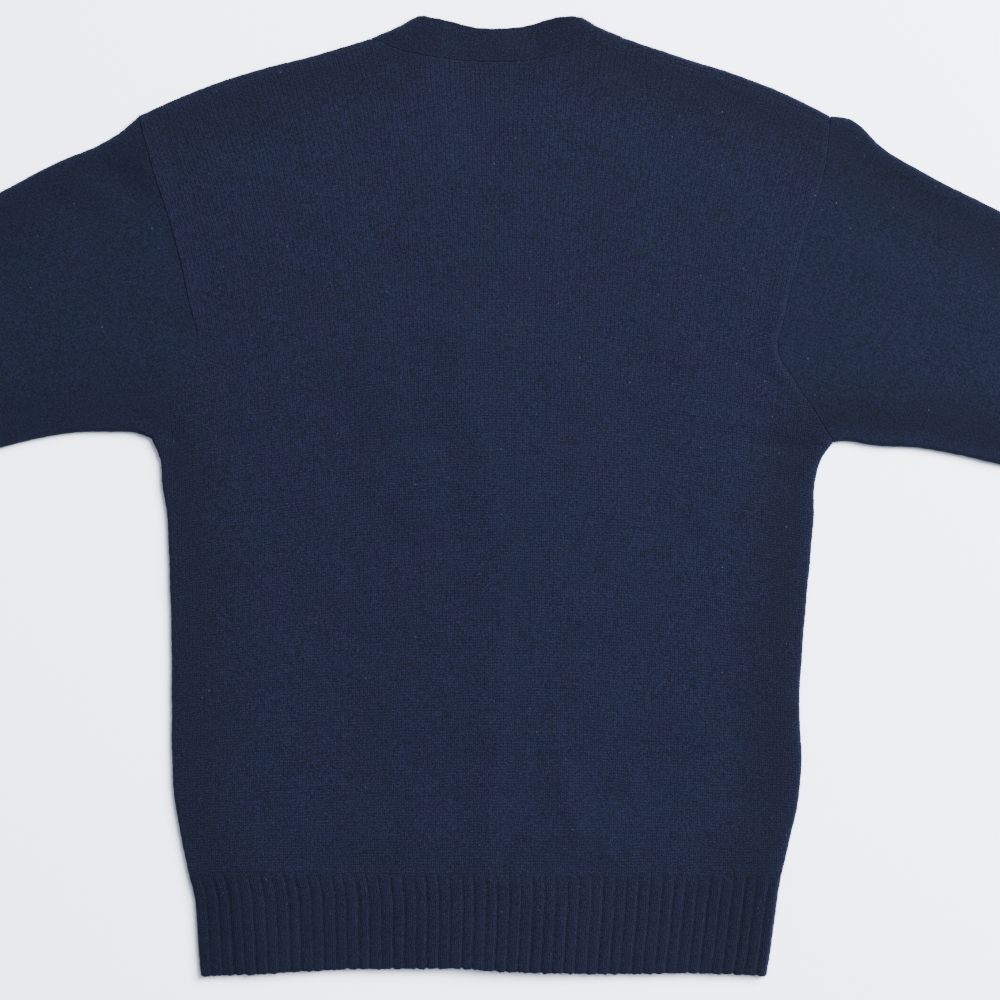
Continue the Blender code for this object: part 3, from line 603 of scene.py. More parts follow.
LEG_ROUND, LEG_LEAN = 0.40, 0.35  # how far a leg falls off to its sides, and leans up its wale
GAP_TOP, GAPS = 0.15, (0.17, 0.32)  # up to that height the gaps between wales deepen
ROWS_FROM, ROWS_TO = 0.02, 0.20  # heights between which those between courses change
SHAKE = (1.0, 1.3, 0.0)  # by how many stitches the noise moves them
SHADE_DEPTH = 0.25  # how much darker the painted shade makes the cloth where it is full
SHOULDER_TOP, SHOULDER_SHADE = 0.20, (0.98, 0.92)
VIOLET, GREEN = (1.08, 0.96, 1.02, 1), (0.93, 1.04, 0.99, 1)  # tints of the dye patches
SPECK_EDGE, SPECK_CORE, FEW, SPECK_SHARE = 0.12, 0.04, 0.86, 0.12
WOOL_ROUGH, WOOL_SPECULAR, WOOL_SHEEN, SHEEN_ROUGH = 0.95, 0.08, 0.06, 0.5


def milled_knit(name, pale, deep, hollow, relief, clear, courses):
    """Milled stockinette in stitch units: wales side by side, each a row of linked V stitches.

    A stitch has two legs, each a parabola across and one along its yarn, that slope up to the sides
    of the wale. Up the body the gaps between wales deepen, and those between courses go from the
    first of courses to the second. clear is how far the stitches show through a mat of short
    fibres, and relief how deep both are. Hollows are painted darker, as shade, down to the share
    hollow. Noise shakes the stitches and mottles the yarn, between pale and deep, and its hue. Rare
    pale flecks lie on top.
    """
    material = new_material(name, WOOL_ROUGH, WOOL_SPECULAR)
    tree = material.node_tree
    body = node(tree, "TexCoord")["Object"]
    up = node(tree, "SeparateXYZ", (body,))[1]

    # The stitches, shaken by unevenness of the yarn, 9 lumps to 100 mm
    place = node(tree, "UVMap", uv_map="stitches")[0]
    shake = node(tree, "TexNoise", {"Vector": body, "Scale": 9 / 0.100, "Detail": 4.0})["Color"]
    moved = node(tree, "VectorMath", (shake, SHAKE, place), operation="MULTIPLY_ADD")[0]
    axes = node(tree, "SeparateXYZ", (moved,))
    leg = node(tree, "Math", (axes[0], 0.5), operation="PINGPONG")[0]
    across = node(tree, "Math", (leg, 2.0), operation="MULTIPLY")[0]
    off = node(tree, "Math", (across, 2.0, -1.0), operation="MULTIPLY_ADD")[0]
    square = node(tree, "Math", (off, off), operation="MULTIPLY")[0]
    round_leg = node(tree, "Math", (square, -LEG_ROUND, 1.0), operation="MULTIPLY_ADD")[0]
    gap = node(tree, "MapRange", (up, 0.0, GAP_TOP, *GAPS))[0]
    inner_side = node(tree, "Math", (across, 1.0), operation="SUBTRACT")[0]
    slope = node(tree, "Math", (inner_side, gap, 1.0), operation="MULTIPLY_ADD")[0]
    legs = node(tree, "Math", (round_leg, slope), operation="MULTIPLY")[0]
    row = node(tree, "Math", (across, -LEG_LEAN, axes[1]), operation="MULTIPLY_ADD")[0]
    row = node(tree, "Math", (row, 0.5), operation="PINGPONG")[0]
    off = node(tree, "Math", (row, -2.0, 1.0), operation="MULTIPLY_ADD")[0]
    square = node(tree, "Math", (off, off), operation="MULTIPLY")[0]
    depth = node(tree, "MapRange", (up, ROWS_FROM, ROWS_TO, -courses[0], -courses[1]))[0]
    round_row = node(tree, "Math", (square, depth, 1.0), operation="MULTIPLY_ADD")[0]
    stitch = node(tree, "Math", (legs, round_row), operation="MULTIPLY")[0]
    stitch = node(tree, "Math", (stitch, clear, 1.0 - clear), operation="MULTIPLY_ADD")[0]

    # The mat of fibres, 13 clumps to 10 mm, which is coarser than the real one so that it shows
    mat = node(tree, "TexNoise", {"Vector": body, "Scale": 13 / 0.010, "Detail": 4.0})[0]
    height = node(tree, "Math", (mat, 1.5, stitch), operation="MULTIPLY_ADD")[0]
    bump = node(tree, "Bump", {"Strength": 1.0, "Distance": relief, "Height": height})[0]

    # The yarn: melange, 8 turns of tone to 10 mm, coarser than real, and 11 dye patches to 200 mm
    tone = node(tree, "TexNoise", {"Vector": body, "Scale": 8 / 0.010, "Detail": 4.0})[0]
    tone = node(tree, "MapRange", (tone, 0.39, 0.61))[0]
    yarn = node(tree, "Mix", {0: tone, 6: linear(deep), 7: linear(pale)}, data_type="RGBA")[2]
    patch = node(tree, "TexNoise", {"Vector": body, "Scale": 11 / 0.200, "Detail": 3.0})[0]
    patch = node(tree, "MapRange", (patch, 0.35, 0.65))[0]
    tint = node(tree, "Mix", {0: patch, 6: VIOLET, 7: GREEN}, data_type="RGBA")[2]
    hue = node(tree, "Mix", {0: 1.0, 6: yarn, 7: tint}, data_type="RGBA", blend_type="MULTIPLY")[2]

    # Shade painted into the colour: darker in the stitches' hollows, beside the rolled edges and
    # the neck, in the rib's grooves, and towards the shoulders; then clouds of 8 mm in the bloom
    shade = node(tree, "MapRange", (stitch, 0.0, 1.0, hollow))[0]
    shade_paint = node(tree, "Attribute", attribute_name="painted_shade")["Fac"]
    painted_shade_factor = node(tree, "Math", (shade_paint, -SHADE_DEPTH, 1.0), operation="MULTIPLY_ADD")[0]
    shoulders = node(tree, "MapRange", (up, 0.0, SHOULDER_TOP, *SHOULDER_SHADE))[0]
    cloud = node(tree, "TexNoise", {"Vector": body, "Scale": 1 / 0.008, "Detail": 3.0})[0]
    cloud = node(tree, "MapRange", (cloud, 0.35, 0.65, 0.95, 1.05))[0]
    for share in (painted_shade_factor, shoulders, cloud):
        shade = node(tree, "Math", (shade, share), operation="MULTIPLY")[0]
    dark = {0: 1.0, 6: hue, 7: shade}
    cloth = node(tree, "Mix", dark, data_type="RGBA", blend_type="MULTIPLY")[2]

    # Flecks: 19 cells to 100 mm, one in seven with a speck of undyed fibre
    cell = node(tree, "TexVoronoi", {"Vector": body, "Scale": 19 / 0.100}, feature="F1")
    speck = node(tree, "MapRange", (cell["Distance"], SPECK_EDGE, SPECK_CORE))[0]
    rare = node(tree, "SeparateColor", (cell["Color"],))[0]
    rare = node(tree, "MapRange", (rare, FEW, 1.0, 0.0, SPECK_SHARE))[0]
    fleck = node(tree, "Math", (speck, rare), operation="MULTIPLY")[0]
    colour = node(tree, "Mix", {0: fleck, 6: cloth, 7: linear("7E879B")}, data_type="RGBA")[2]

    shader = tree.nodes["Principled BSDF"]
    tree.links.new(colour, shader.inputs["Base Color"])
    tree.links.new(bump, shader.inputs["Normal"])
    shader.inputs["Sheen Weight"].default_value = WOOL_SHEEN
    shader.inputs["Sheen Roughness"].default_value = SHEEN_ROUGH
    shader.inputs["Sheen Tint"].default_value = linear("7E93B8")
    return material


# Lambswool, woollen spun, knitted and milled: soft and matt, with a faint pale bloom. The body
# shows its stitches most. BODY_TONES are the yarn's pale and deep navy.
BODY_TONES, BODY_RELIEF, BODY_COURSES = ("101429", "060815"), 0.0007, (0.50, 0.28)
stockinette = milled_knit(
    "milled_lambswool_stockinette", *BODY_TONES, 0.12, BODY_RELIEF, 1.0, BODY_COURSES
)

BACK_WIDE, BACK_COLUMN, SIDE_ROW, ARMHOLE_ROW = 0.46, 0.0036, 0.0034, 0.0030  # of its grid
NECK_ROUND, RIB_ROUND = 0.0008, 0.0006  # radii to which sewn edges are rounded off
RIGHT_ROUND, LEFT_ROUND, LEFT_GAIN, GAIN_START, GAIN_EASE = 0.0008, 0.0001, 0.0003, 0.095, 0.060
wide = shares(BACK_WIDE, BACK_COLUMN)
side_length, armhole_length = lengths(body_side[0])[-1], lengths(armhole[0])[-1]
side_rows = shares(side_length, SIDE_ROW, last=False)
armhole_rows = shares(armhole_length, ARMHOLE_ROW, first=False)[1:]
underarm = len(side_rows) - 1


def body_edge(side):
    """Side of the body from the rib to the underarm, then the armhole up to the shoulder."""
    return np.vstack([at(body_side[side], side_rows), at(armhole[side], armhole_rows)])


def armhole_round(side, y):
    """Radius to which an armhole's edges are rounded off, on the left one easing up its height."""
    if side == 1:
        return np.full_like(y, RIGHT_ROUND)
    return LEFT_ROUND + LEFT_GAIN * smooth((y - GAIN_START) / GAIN_EASE)


neck_line = np.vstack([shoulder[0], neck_seam[1:], shoulder[1][::-1][1:]])
plan = coons(at(rib_seam, wide), at(neck_line, wide), body_edge(0), body_edge(1))
run = wide * lengths(neck_line)[-1]
collar = (run >= lengths(shoulder[0])[-1]) & (run <= run[-1] - lengths(shoulder[1])[-1])
first, last = np.flatnonzero(collar)[[0, -1]]
y = plan[..., 1]
seams = (
    (np.s_[-1, first : last + 1], np.s_[-2, first : last + 1], neck_seam, NECK_ROUND),
    (np.s_[0, :], np.s_[1, :], rib_seam, RIB_ROUND),
    (np.s_[underarm:, 0], np.s_[underarm:, 1], armhole[0], armhole_round(0, y)),
    (np.s_[underarm:, -1], np.s_[underarm:, -2], armhole[1], armhole_round(1, y)),
)

# The seam allowance inside lifts a ridge beside each armhole: on the left one that fades away from
# the seam, on the right a crest 4 mm from it, highest half-way up. The shoulders' seams sink in.
LEFT_RIDGE, LEFT_START, LEFT_EASE, LEFT_FADE = 0.0007, 0.108, 0.030, 0.0050
RIGHT_RIDGE, RIGHT_START, RIGHT_EASE, RIGHT_CREST, RIGHT_FADE = 0.0012, 0.060, 0.025, 0.004, 0.007
RIGHT_LEAST, RIGHT_GAIN, RIGHT_Y, RIGHT_HALF = 0.4, 0.7, 0.125, 0.034
SHOULDER_INSET, SHOULDER_GROOVE, GROOVE_HALF = (0.0030, 0.0052), 0.0005, 0.0009
away = nearest(armhole[0], plan)[0]
ridge = LEFT_RIDGE * smooth((y - LEFT_START) / LEFT_EASE) * np.exp(-away / LEFT_FADE)
away = nearest(armhole[1], plan)[0]
strength = RIGHT_LEAST + RIGHT_GAIN * np.exp(-(((y - RIGHT_Y) / RIGHT_HALF) ** 2))
beyond = np.exp(-(((away - RIGHT_CREST) / RIGHT_FADE) ** 2))
crest = np.where(away < RIGHT_CREST, smooth(away / RIGHT_CREST), beyond)
ridge += RIGHT_RIDGE * strength * smooth((y - RIGHT_START) / RIGHT_EASE) * crest
for side in (0, 1):
    off = nearest(shoulder[side], plan)[0] - SHOULDER_INSET[side]
    ridge -= SHOULDER_GROOVE * np.exp(-((off / GROOVE_HALF) ** 2))
outer, inner, flat, painted_shade = skins(plan, CLOTH, True, seams, raised=ridge, across=(np.s_[0, :],))
back = wall_mesh("back_panel", outer, inner, body_stitches(flat), painted_shade, stockinette)
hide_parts("back")


# Loose fibres of the back: ends of undyed and dyed wool that milling has raised out of the yarn,
# and tufts where several cling together. They are paler than the cloth, partly for the undyed
# wool and partly as a painted brightness for the light that passes through them, and mottled in
# 9 turns of tone to 10 mm.
loose_fibre = new_material("loose_wool_fibre", 0.8, 0.2)
tree = loose_fibre.node_tree
body = node(tree, "TexCoord")["Object"]
tone = node(tree, "TexNoise", {"Vector": body, "Scale": 9 / 0.010, "Detail": 2.0})[0]
tone = node(tree, "MapRange", (tone, 0.40, 0.72))[0]
tone = node(tree, "Mix", {0: tone, 6: linear("0A0F20"), 7: linear("1C2537")}, data_type="RGBA")[2]
tree.links.new(tone, tree.nodes["Principled BSDF"].inputs["Base Color"])
FIBRE_ROOT, FIBRE_LOWEST = 0.0001, 0.00005  # how deep a fibre starts, and its least height
FIBRE_SIZES, FIBRE_LIFTS, FIBRE_BENDS = (0.35, 1.0), (0.10, 0.55), (-0.5, 0.5)  # shares of length
FIBRE_RUN, FIBRE_TAPER, FIBRE_ARC = 0.8, 0.6, 2.2
TUFT = {"edge": 500.0, "length": 0.0014, "width": 0.00032}


def fuzz(name, outer, count, seed, edge=60.0, length=0.0032, width=0.0001):
    """Loose wool fibres on a surface: tapering strips of three quads, rooted at random.

    A fibre runs along the surface in its own direction, bends aside as the square of its run, and
    rises as part of a sine. edge is how much denser the fibres are where the cloth turns down, and
    length the longest. They are 0.1 mm wide, which is coarser than wool, and tufts are wider.
    """
    chance = np.random.default_rng(seed)
    a, b, c, d = outer[:-1, :-1], outer[:-1, 1:], outer[1:, 1:], outer[1:, :-1]
    normal = np.cross(c - a, d - b).reshape(-1, 3)
    area = np.linalg.norm(normal, axis=1)
    normal = normal / np.maximum(area, 1e-15)[:, None]
    weight = area * (1 + edge * (1 - np.abs(normal[:, 2])) ** 2)
    pick = chance.choice(len(area), count, p=weight / weight.sum())
    u, v = chance.random((2, count, 1))
    a, b, c, d = (corner.reshape(-1, 3)[pick] for corner in (a, b, c, d))
    root = (1 - v) * ((1 - u) * a + u * b) + v * ((1 - u) * d + u * c)
    up = normal[pick]
    run = np.cross(up, chance.normal(size=(count, 3)))
    run /= np.linalg.norm(run, axis=1, keepdims=True)
    beside = np.cross(up, run)
    size = length * chance.uniform(*FIBRE_SIZES, (count, 1))
    lift = chance.uniform(*FIBRE_LIFTS, (count, 1)) * size
    bend = chance.uniform(*FIBRE_BENDS, (count, 1)) * size
    points = []
    for share in (0.0, 0.33, 0.67, 1.0):
        middle = root + run * size * share * FIBRE_RUN + beside * bend * share**2
        middle = middle + up * (lift * math.sin(FIBRE_ARC * share) - FIBRE_ROOT)
        half = width / 2 * (1 - FIBRE_TAPER * share)
        points += [middle - beside * half, middle + beside * half]
    points = np.stack(points, axis=1)
    points[..., 2] = np.maximum(points[..., 2], FIBRE_LOWEST)
    start = np.arange(count)[:, None] * 8
    strips = np.stack([start + np.array([k, k + 1, k + 3, k + 2]) for k in (0, 2, 4)], axis=1)
    return wool_piece(name, points.reshape(-1, 3), strips.reshape(-1, 4), loose_fibre, False)


fuzz("back_fuzz", outer, 13000, 1)
fuzz("back_tufts", outer, 900, 11, **TUFT)


# The linked seams at the shoulders, the armholes and the neck: a row of chain stitches in the
# garment's own yarn, tight and so a little darker, that lies in the groove of each seam.
linking_yarn = new_material("linking_yarn", 0.9, 0.1, "090C18")
BEAD_STEP, BEAD_SIDES, BEAD_END = 0.00045, 8, 0.00002
BEAD_WAIST, BEAD_UNEVEN = 0.45, (0.75, 1.1)
SHOULDER_CHAIN, ARMHOLE_CHAIN, NECK_CHAIN = (0.0005, 0.0028), (0.0004, 0.0032), (0.0004, 0.0028)
SHOULDER_SUNK, ARMHOLE_SUNK, NECK_SUNK = 0.00025, (0.00025, 0.00080), 0.00095
CHAIN_FROM = (0.105, 0.055)  # height from which the armhole's seam shows, left and right


def chain(name, line, radius, pitch, sunk):
    """A row of linked stitches, sunk in the cloth: a tube along a line in plan, one bead a pitch.

    A bead swells from its waist as a power of a sine, and its thickness is drawn at random.
    """
    chance = np.random.default_rng(len(name))
    run = lengths(line)[-1]
    along = np.linspace(0, 1, int(run / BEAD_STEP))
    path = skins(at(line, along)[None], CLOTH, True)[0][0]
    bead = np.abs(np.sin(math.pi * along * run / pitch))
    stitch = (along * run / pitch).astype(int)
    size = radius * (BEAD_WAIST + (1 - BEAD_WAIST) * bead**0.6)
    size *= chance.uniform(*BEAD_UNEVEN, stitch[-1] + 1)[stitch]
    path[:, 2] -= sunk
    size[[0, -1]] = BEAD_END
    ahead = np.gradient(path, axis=0)
    ahead /= np.linalg.norm(ahead, axis=1, keepdims=True)
    beside = np.cross(ahead, [0, 0, 1])
    beside /= np.linalg.norm(beside, axis=1, keepdims=True)
    above = np.cross(beside, ahead)
    turn = (np.arange(BEAD_SIDES) * 2 * math.pi / BEAD_SIDES)[None, :, None]
    ring = np.cos(turn) * beside[:, None] + np.sin(turn) * above[:, None]
    points = (path[:, None] + size[:, None, None] * ring).reshape(-1, 3)
    number = np.arange(len(points)).reshape(-1, BEAD_SIDES)
    turned = np.roll(number, -1, axis=1)
    quads = np.stack([number[:-1], turned[:-1], turned[1:], number[1:]], axis=-1).reshape(-1, 4)
    ends = [number[0].tolist(), number[-1, ::-1].tolist()]
    return wool_piece(name, points, quads.tolist() + ends, linking_yarn)


for side, word in enumerate(("left", "right")):
    line = shoulder[side]
    along = tangents(line)
    inward = np.stack([along[:, 1], -along[:, 0]], axis=-1) * (1, -1)[side]
    seam = (line + SHOULDER_INSET[side] * inward)[2:-4]
    chain(f"{word}_shoulder_seam", seam, *SHOULDER_CHAIN, SHOULDER_SUNK)
    seam = armhole[side][armhole[side][:, 1] > CHAIN_FROM[side]]
    chain(f"{word}_armhole_seam", seam[:-3], *ARMHOLE_CHAIN, ARMHOLE_SUNK[side])
chain("neck_seam", neck_seam[4:-4], *NECK_CHAIN, NECK_SUNK)


# The ribbed hem of the back: two knit wales and one purl, which sinks between them. It is knitted
# in one with the back on finer needles, so it draws in.
HEM_RIBS, RIB_CREST, RIB_DEPTH = 50, 0.0007, 0.0008
HEM_ROUND, HEM_ROW, HEM_LENGTH, HEM_WAVE = 0.0014, 0.0040, 0.075, 0.0003
GROOVE_SHADE = 0.45  # how much painted shade lies in a groove, for the light it holds
PURL_HALF, SEAM_SHARE, SEAM_REACH = 0.26, 0.3, 0.006
HEM_EDGE = (
    (-0.2226, -0.3550),
    (-0.1900, -0.3541),
    (-0.1500, -0.3518),
    (-0.1100, -0.3497),
    (-0.0700, -0.3493),
    (-0.0300, -0.3490),
    (0.0000, -0.3512),
    (0.0350, -0.3525),
    (0.0900, -0.3534),
    (0.1450, -0.3527),
    (0.1962, -0.3550),
)


def groove(share, ribs):
    """Share of a rib's depth: 0 on the crests, easing to 1 in the middle of the purl groove.

    The grooves wander by two sines, except at the ends, and are unevenly deep by another.
    """
    wander = 0.04 * np.sin(23 * share * 2 * math.pi + 1) + 0.03 * np.sin(41 * share * 2 * math.pi)
    phase = (share * ribs + wander * smooth(np.minimum(share, 1 - share) / 0.05)) % 1.0
    deep = 1 + 0.2 * np.sin(17 * share * 2 * math.pi + 2)
    return deep * (1 - smooth(np.minimum(phase, 1 - phase) / PURL_HALF))


def from_seam(distance):
    """Share of the ribs' height, down the grid's rows: least at the seam, easing to 1 below it."""
    return (SEAM_SHARE + (1 - SEAM_SHARE) * smooth(distance / SEAM_REACH))[:, None]


def rib_stitches(share, ribs, along):
    """Wales and courses of a rib: three wales to each rib, and courses by the length along them."""
    wales = np.broadcast_to(share * ribs * 3 + 0.5, along.shape)
    return np.stack([wales, along / COURSE], axis=-1)


# The same wool in rib, with rounder stitches. Its colour is darker, a painted shade for the light
# that its grooves hold.
RIB_TONES, RIB_RELIEF, RIB_COURSES = ("0D1023", "040512"), 0.0010, (0.18, 0.18)
rib_knit = milled_knit("milled_lambswool_rib", *RIB_TONES, 0.12, RIB_RELIEF, 0.9, RIB_COURSES)
hem_edge = curve(HEM_EDGE)
wide = np.linspace(0, 1, HEM_RIBS * 10 + 1)
tall = shares(lengths(hem_side[0])[-1], HEM_ROW)
edge = at(hem_edge, wide)
x = edge[:, 0]  # the bound-off edge waves by three sines, 16, 6 and 4 mm long, and by the ribs
wave = 0.6 * np.sin(401 * x) + 0.7 * np.sin(977 * x + 2) + 0.5 * np.sin(1699 * x + 4)
level = smooth(np.minimum(wide, 1 - wide) / 0.01)
edge[:, 1] -= HEM_WAVE * (wave - 1.6 * groove(wide, HEM_RIBS)) * level
plan = coons(edge, at(rib_seam, wide), at(hem_side[0], tall), at(hem_side[1], tall))
seams = ((np.s_[-1, :], np.s_[-2, :], rib_seam, RIB_ROUND),)
ribs = (RIB_CREST - RIB_DEPTH * groove(wide, HEM_RIBS)) * from_seam((1 - tall) * HEM_LENGTH)
frees = [(edge, HEM_ROUND)]
ends = (np.s_[0, :], np.s_[-1, :])
outer, inner, flat, painted_shade = skins(plan, CLOTH, True, seams, frees, raised=ribs, across=ends)
# Painted shade in the rib's purl grooves, where less light reaches
painted_shade = painted_shade + GROOVE_SHADE * groove(wide, HEM_RIBS)
stitches = rib_stitches(wide, HEM_RIBS, flat[..., 1])
back_hem = wall_mesh("back_rib", outer, inner, stitches, painted_shade, rib_knit)
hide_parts("back_hem")
fuzz("back_rib_fuzz", outer, 8000, 2)
fuzz("back_rib_tufts", outer, 1300, 12, edge=700.0, length=0.0022, width=0.00030)


# The neck band: a strip of fine rib, linked round the back of the neck and on down both fronts. It
# is firmer and smoother than the body, and folds over at the sides of the neck.
BAND_CLOTH, NECK_RIBS, NECK_RIB_DEPTH = 0.0030, 12, 0.00012
NECK_WIDE, NECK_COLUMN, NECK_EDGE_ROUND = 0.185, 0.0018, 0.0016
NECK_EDGE = (
    (-0.0610, 0.3559),
    (-0.0447, 0.3525),
    (-0.0159, 0.3463),
    (-0.0011, 0.3458),
    (0.0136, 0.3470),
    (0.0432, 0.3541),
    (0.0581, 0.3549),
)

# The same wool in close rib, which hides its stitches, so that their hollows get less painted
# shade.
BAND_TONES, BAND_RELIEF, BAND_COURSES = ("0C1022", "040510"), 0.0005, (0.45, 0.45)
band_knit = milled_knit("milled_lambswool_band", *BAND_TONES, 0.45, BAND_RELIEF, 0.8, BAND_COURSES)
neck_edge = curve(NECK_EDGE)
wide = shares(NECK_WIDE, NECK_COLUMN)
tall = np.linspace(0, 1, NECK_RIBS * 5 + 1)
sides = at(neck_fold[0], tall), at(neck_fold[1], tall)
plan = coons(at(neck_seam, wide), at(neck_edge, wide), *sides)
seams = ((np.s_[0, :], np.s_[1, :], neck_seam, NECK_ROUND),)
frees = [(neck_edge, NECK_EDGE_ROUND)]
ribs = -NECK_RIB_DEPTH * groove(tall, NECK_RIBS)[:, None]
rows = [np.s_[row, :] for row in range(len(tall))]
outer, inner, flat, painted_shade = skins(plan, BAND_CLOTH, True, seams, frees, raised=ribs, across=rows)
wales = np.broadcast_to((tall * NECK_RIBS)[:, None], plan.shape[:2])
stitches = np.stack([wales, flat[..., 0] / COURSE], axis=-1)
neck_band = wall_mesh("neck_rib", outer, inner, stitches, painted_shade, band_knit)
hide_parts("neck_band")
fuzz("neck_fuzz", outer, 2500, 3)
fuzz("neck_tufts", outer, 150, 13, edge=500.0, length=0.0012, width=0.00030)


# The two fronts: the same stockinette, right side down on the surface. The right one comes up
# beside its band, which lies on the left band. Their hems end just inside the edge of the back's.
PRESSED_BAND = 0.0026  # thickness of a band with the garment lying on it
BAND_STEP, STEP_REACH = PRESSED_BAND + 0.0002, 0.022
LIFT_LEVEL, LIFT_REACH = 0.0172, 0.043  # of a front over a button
HEM_TUCK, TUCK_REACH = 0.0010, 0.022
FRONT_WIDE, FRONT_COLUMN, FRONT_RIB_ROW = 0.23, 0.0050, 0.0048
FRONT_RIBS = (24, 23)
UNDER_ROUND, UNDER_RIB_ROUND, UNDER_SIDE_ROUND = 0.0013, 0.0010, 0.0012


def front_end(x):
    """Y of the lower edge of the fronts: the back's, tucked in by an eased step from each side."""
    from_side = np.minimum(x - hem_edge[0, 0], hem_edge[-1, 0] - x)
    return np.interp(x, hem_edge[:, 0], hem_edge[:, 1]) + HEM_TUCK * smooth(from_side / TUCK_REACH)


def front_lift(xy, side):
    """Height of a front over the surface: an eased mound round each button, and the bands' step.

    The step is the right front's alone, and eases down away from the seam of its band.
    """
    lift = BUTTON_LIFT * button_lift(xy, LIFT_LEVEL, LIFT_REACH)
    if side == 1:
        seam = band_edge(1, True)
        away = xy[..., 0] - np.interp(xy[..., 1], seam[:, 1], seam[:, 0])
        lift = lift + BAND_STEP * stacking(xy[..., 1]) * smooth(1 - away / STEP_REACH)
    return lift


for side, word in enumerate(("left", "right")):
    seam = band_edge(side, True)
    rib_top = float(rib_seam[1, 1])
    start = np.array([np.interp(rib_top, seam[:, 1], seam[:, 0]), rib_top])
    inner_edge = np.vstack([start, seam[seam[:, 1] > rib_top + 1e-6]])
    tall = np.concatenate([side_rows * side_length, side_length + armhole_rows * armhole_length])
    tall = tall / (side_length + armhole_length)
    wide = shares(FRONT_WIDE, FRONT_COLUMN)
    rib_line = np.array([rib_seam[-side], start])
    top = at(shoulder[side], wide)
    plan = coons(at(rib_line, wide), top, body_edge(side), at(inner_edge, tall))
    seams = (
        (np.s_[0, :], np.s_[1, :], rib_line, UNDER_SIDE_ROUND),
        (np.s_[underarm:, 0], np.s_[underarm:, 1], armhole[side], UNDER_ROUND),
        (np.s_[:, -1], np.s_[:, -2], inner_edge, UNDER_ROUND),
    )
    raising, rib_row = front_lift(plan, side), (np.s_[0, :],)
    outer, inner, flat, painted_shade = skins(plan, CLOTH, False, seams, lift=raising, across=rib_row)
    stitches = body_stitches(flat)
    front = wall_mesh(f"{word}_front_panel", outer, inner, stitches, painted_shade, stockinette)
    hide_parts(f"{word}_front")

    # The ribbed hem of this front, knitted in one with it
    ribs = FRONT_RIBS[side]
    foot = np.array([seam[0, 0], front_end(seam[0, 0])])
    below = seam[(seam[:, 1] < rib_top - 1e-6) & (seam[:, 1] > foot[1] + 1e-6)]
    inner_edge = np.vstack([foot, below, start])
    tall = shares(lengths(hem_side[side])[-1], FRONT_RIB_ROW)
    wide = np.linspace(0, 1, ribs * 10 + 1)
    reach = np.linspace(hem_side[side][0, 0], foot[0], 40)
    south = np.stack([reach, front_end(reach)], axis=-1)
    outer_edge = hem_side[side]
    plan = coons(at(south, wide), at(rib_line, wide), at(outer_edge, tall), at(inner_edge, tall))
    seams = (
        (np.s_[-1, :], np.s_[-2, :], rib_line, UNDER_RIB_ROUND),
        (np.s_[:, -1], np.s_[:, -2], inner_edge, UNDER_SIDE_ROUND),
    )
    frees = [(south, HEM_ROUND)]
    sunk = RIB_DEPTH * groove(wide, ribs) * from_seam((1 - tall) * HEM_LENGTH)
    raising = front_lift(plan, side)
    outer, inner, flat, painted_shade = skins(plan, CLOTH, False, seams, frees, sunk, raising, ends)
    stitches = rib_stitches(wide, ribs, flat[..., 1])
    hem = wall_mesh(f"{word}_front_rib", outer, inner, stitches, painted_shade, rib_knit)
    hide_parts(f"{word}_front_hem")


# The button bands: the same fine rib as the neck band, of which they are the two ends. The left
# one, with the buttonholes, is on the outside and so lies under the right one.
BAND_ROW, BAND_RIB_DEPTH, BAND_ROUND = 0.0040, 0.0007, 0.0013


def from_foot(line):
    """A band's edge from the lower edge of the fronts up: its foot there, then what is above."""
    foot = front_end(line[0, 0])
    return np.vstack([[(line[0, 0], foot)], line[line[:, 1] > foot + 1e-6]])


for side, word in enumerate(("left", "right")):
    sewn_line, free_line = (from_foot(band_edge(side, sewn)) for sewn in (True, False))
    tall = shares(lengths(sewn_line)[-1], BAND_ROW)
    wide = np.linspace(0, 1, NECK_RIBS * 5 + 1)
    south = np.array([sewn_line[0], free_line[0]])
    north = neck_fold[side]
    plan = coons(at(south, wide), at(north, wide), at(sewn_line, tall), at(free_line, tall))
    seams = ((np.s_[:, 0], np.s_[:, 1], sewn_line, BAND_ROUND),)
    frees = [(free_line, BAND_ROUND), (south, BAND_ROUND)]
    raising = BUTTON_LIFT * button_lift(plan, LIFT_LEVEL, LIFT_REACH)
    if side == 1:
        raising = raising + BAND_STEP * stacking(plan[..., 1])
    sunk = BAND_RIB_DEPTH * groove(wide, NECK_RIBS)
    edges = (np.s_[:, 0], np.s_[:, -1])
    layer = skins(plan, PRESSED_BAND, False, seams, frees, sunk, raising, edges)
    outer, inner, flat, painted_shade = layer
    wales = np.broadcast_to(wide * NECK_RIBS, plan.shape[:2])
    stitches = np.stack([wales, flat[..., 1] / COURSE], axis=-1)
    band = wall_mesh(f"{word}_band_rib", outer, inner, stitches, painted_shade, band_knit)
    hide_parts(f"{word}_front_band")


# The sleeves: stockinette tubes set into the dropped armholes, with one seam along the underarm,
# pressed flat by their own weight.
SLEEVE_ROW, SLEEVE_WIDE, SLEEVE_COLUMN = 0.0046, 0.22, 0.0039


def ring_of(over, under):
    """Joins the grids of a tube's two layers into one ring of columns, back to where it starts."""
    return np.concatenate([over, under[:, ::-1][:, 1:]], axis=1)


def tube(name, over, under, stitches, knit):
    """A flattened tube, closed as a ring, from the skins of its two layers and their stitches.

    The lower layer's wales are mirrored in the fold, so that they count on round the tube.
    """
    turned = stitches[1].copy()
    turned[..., 0] = 2 * stitches[1][:, -1:, 0] - stitches[1][..., 0]
    # The third grid joined is the painted shade
    outer, inner, shade_paint = (ring_of(over[k], under[k]) for k in (0, 1, 3))
    return wall_mesh(name, outer, inner, ring_of(stitches[0], turned), shade_paint, knit, ring=True)


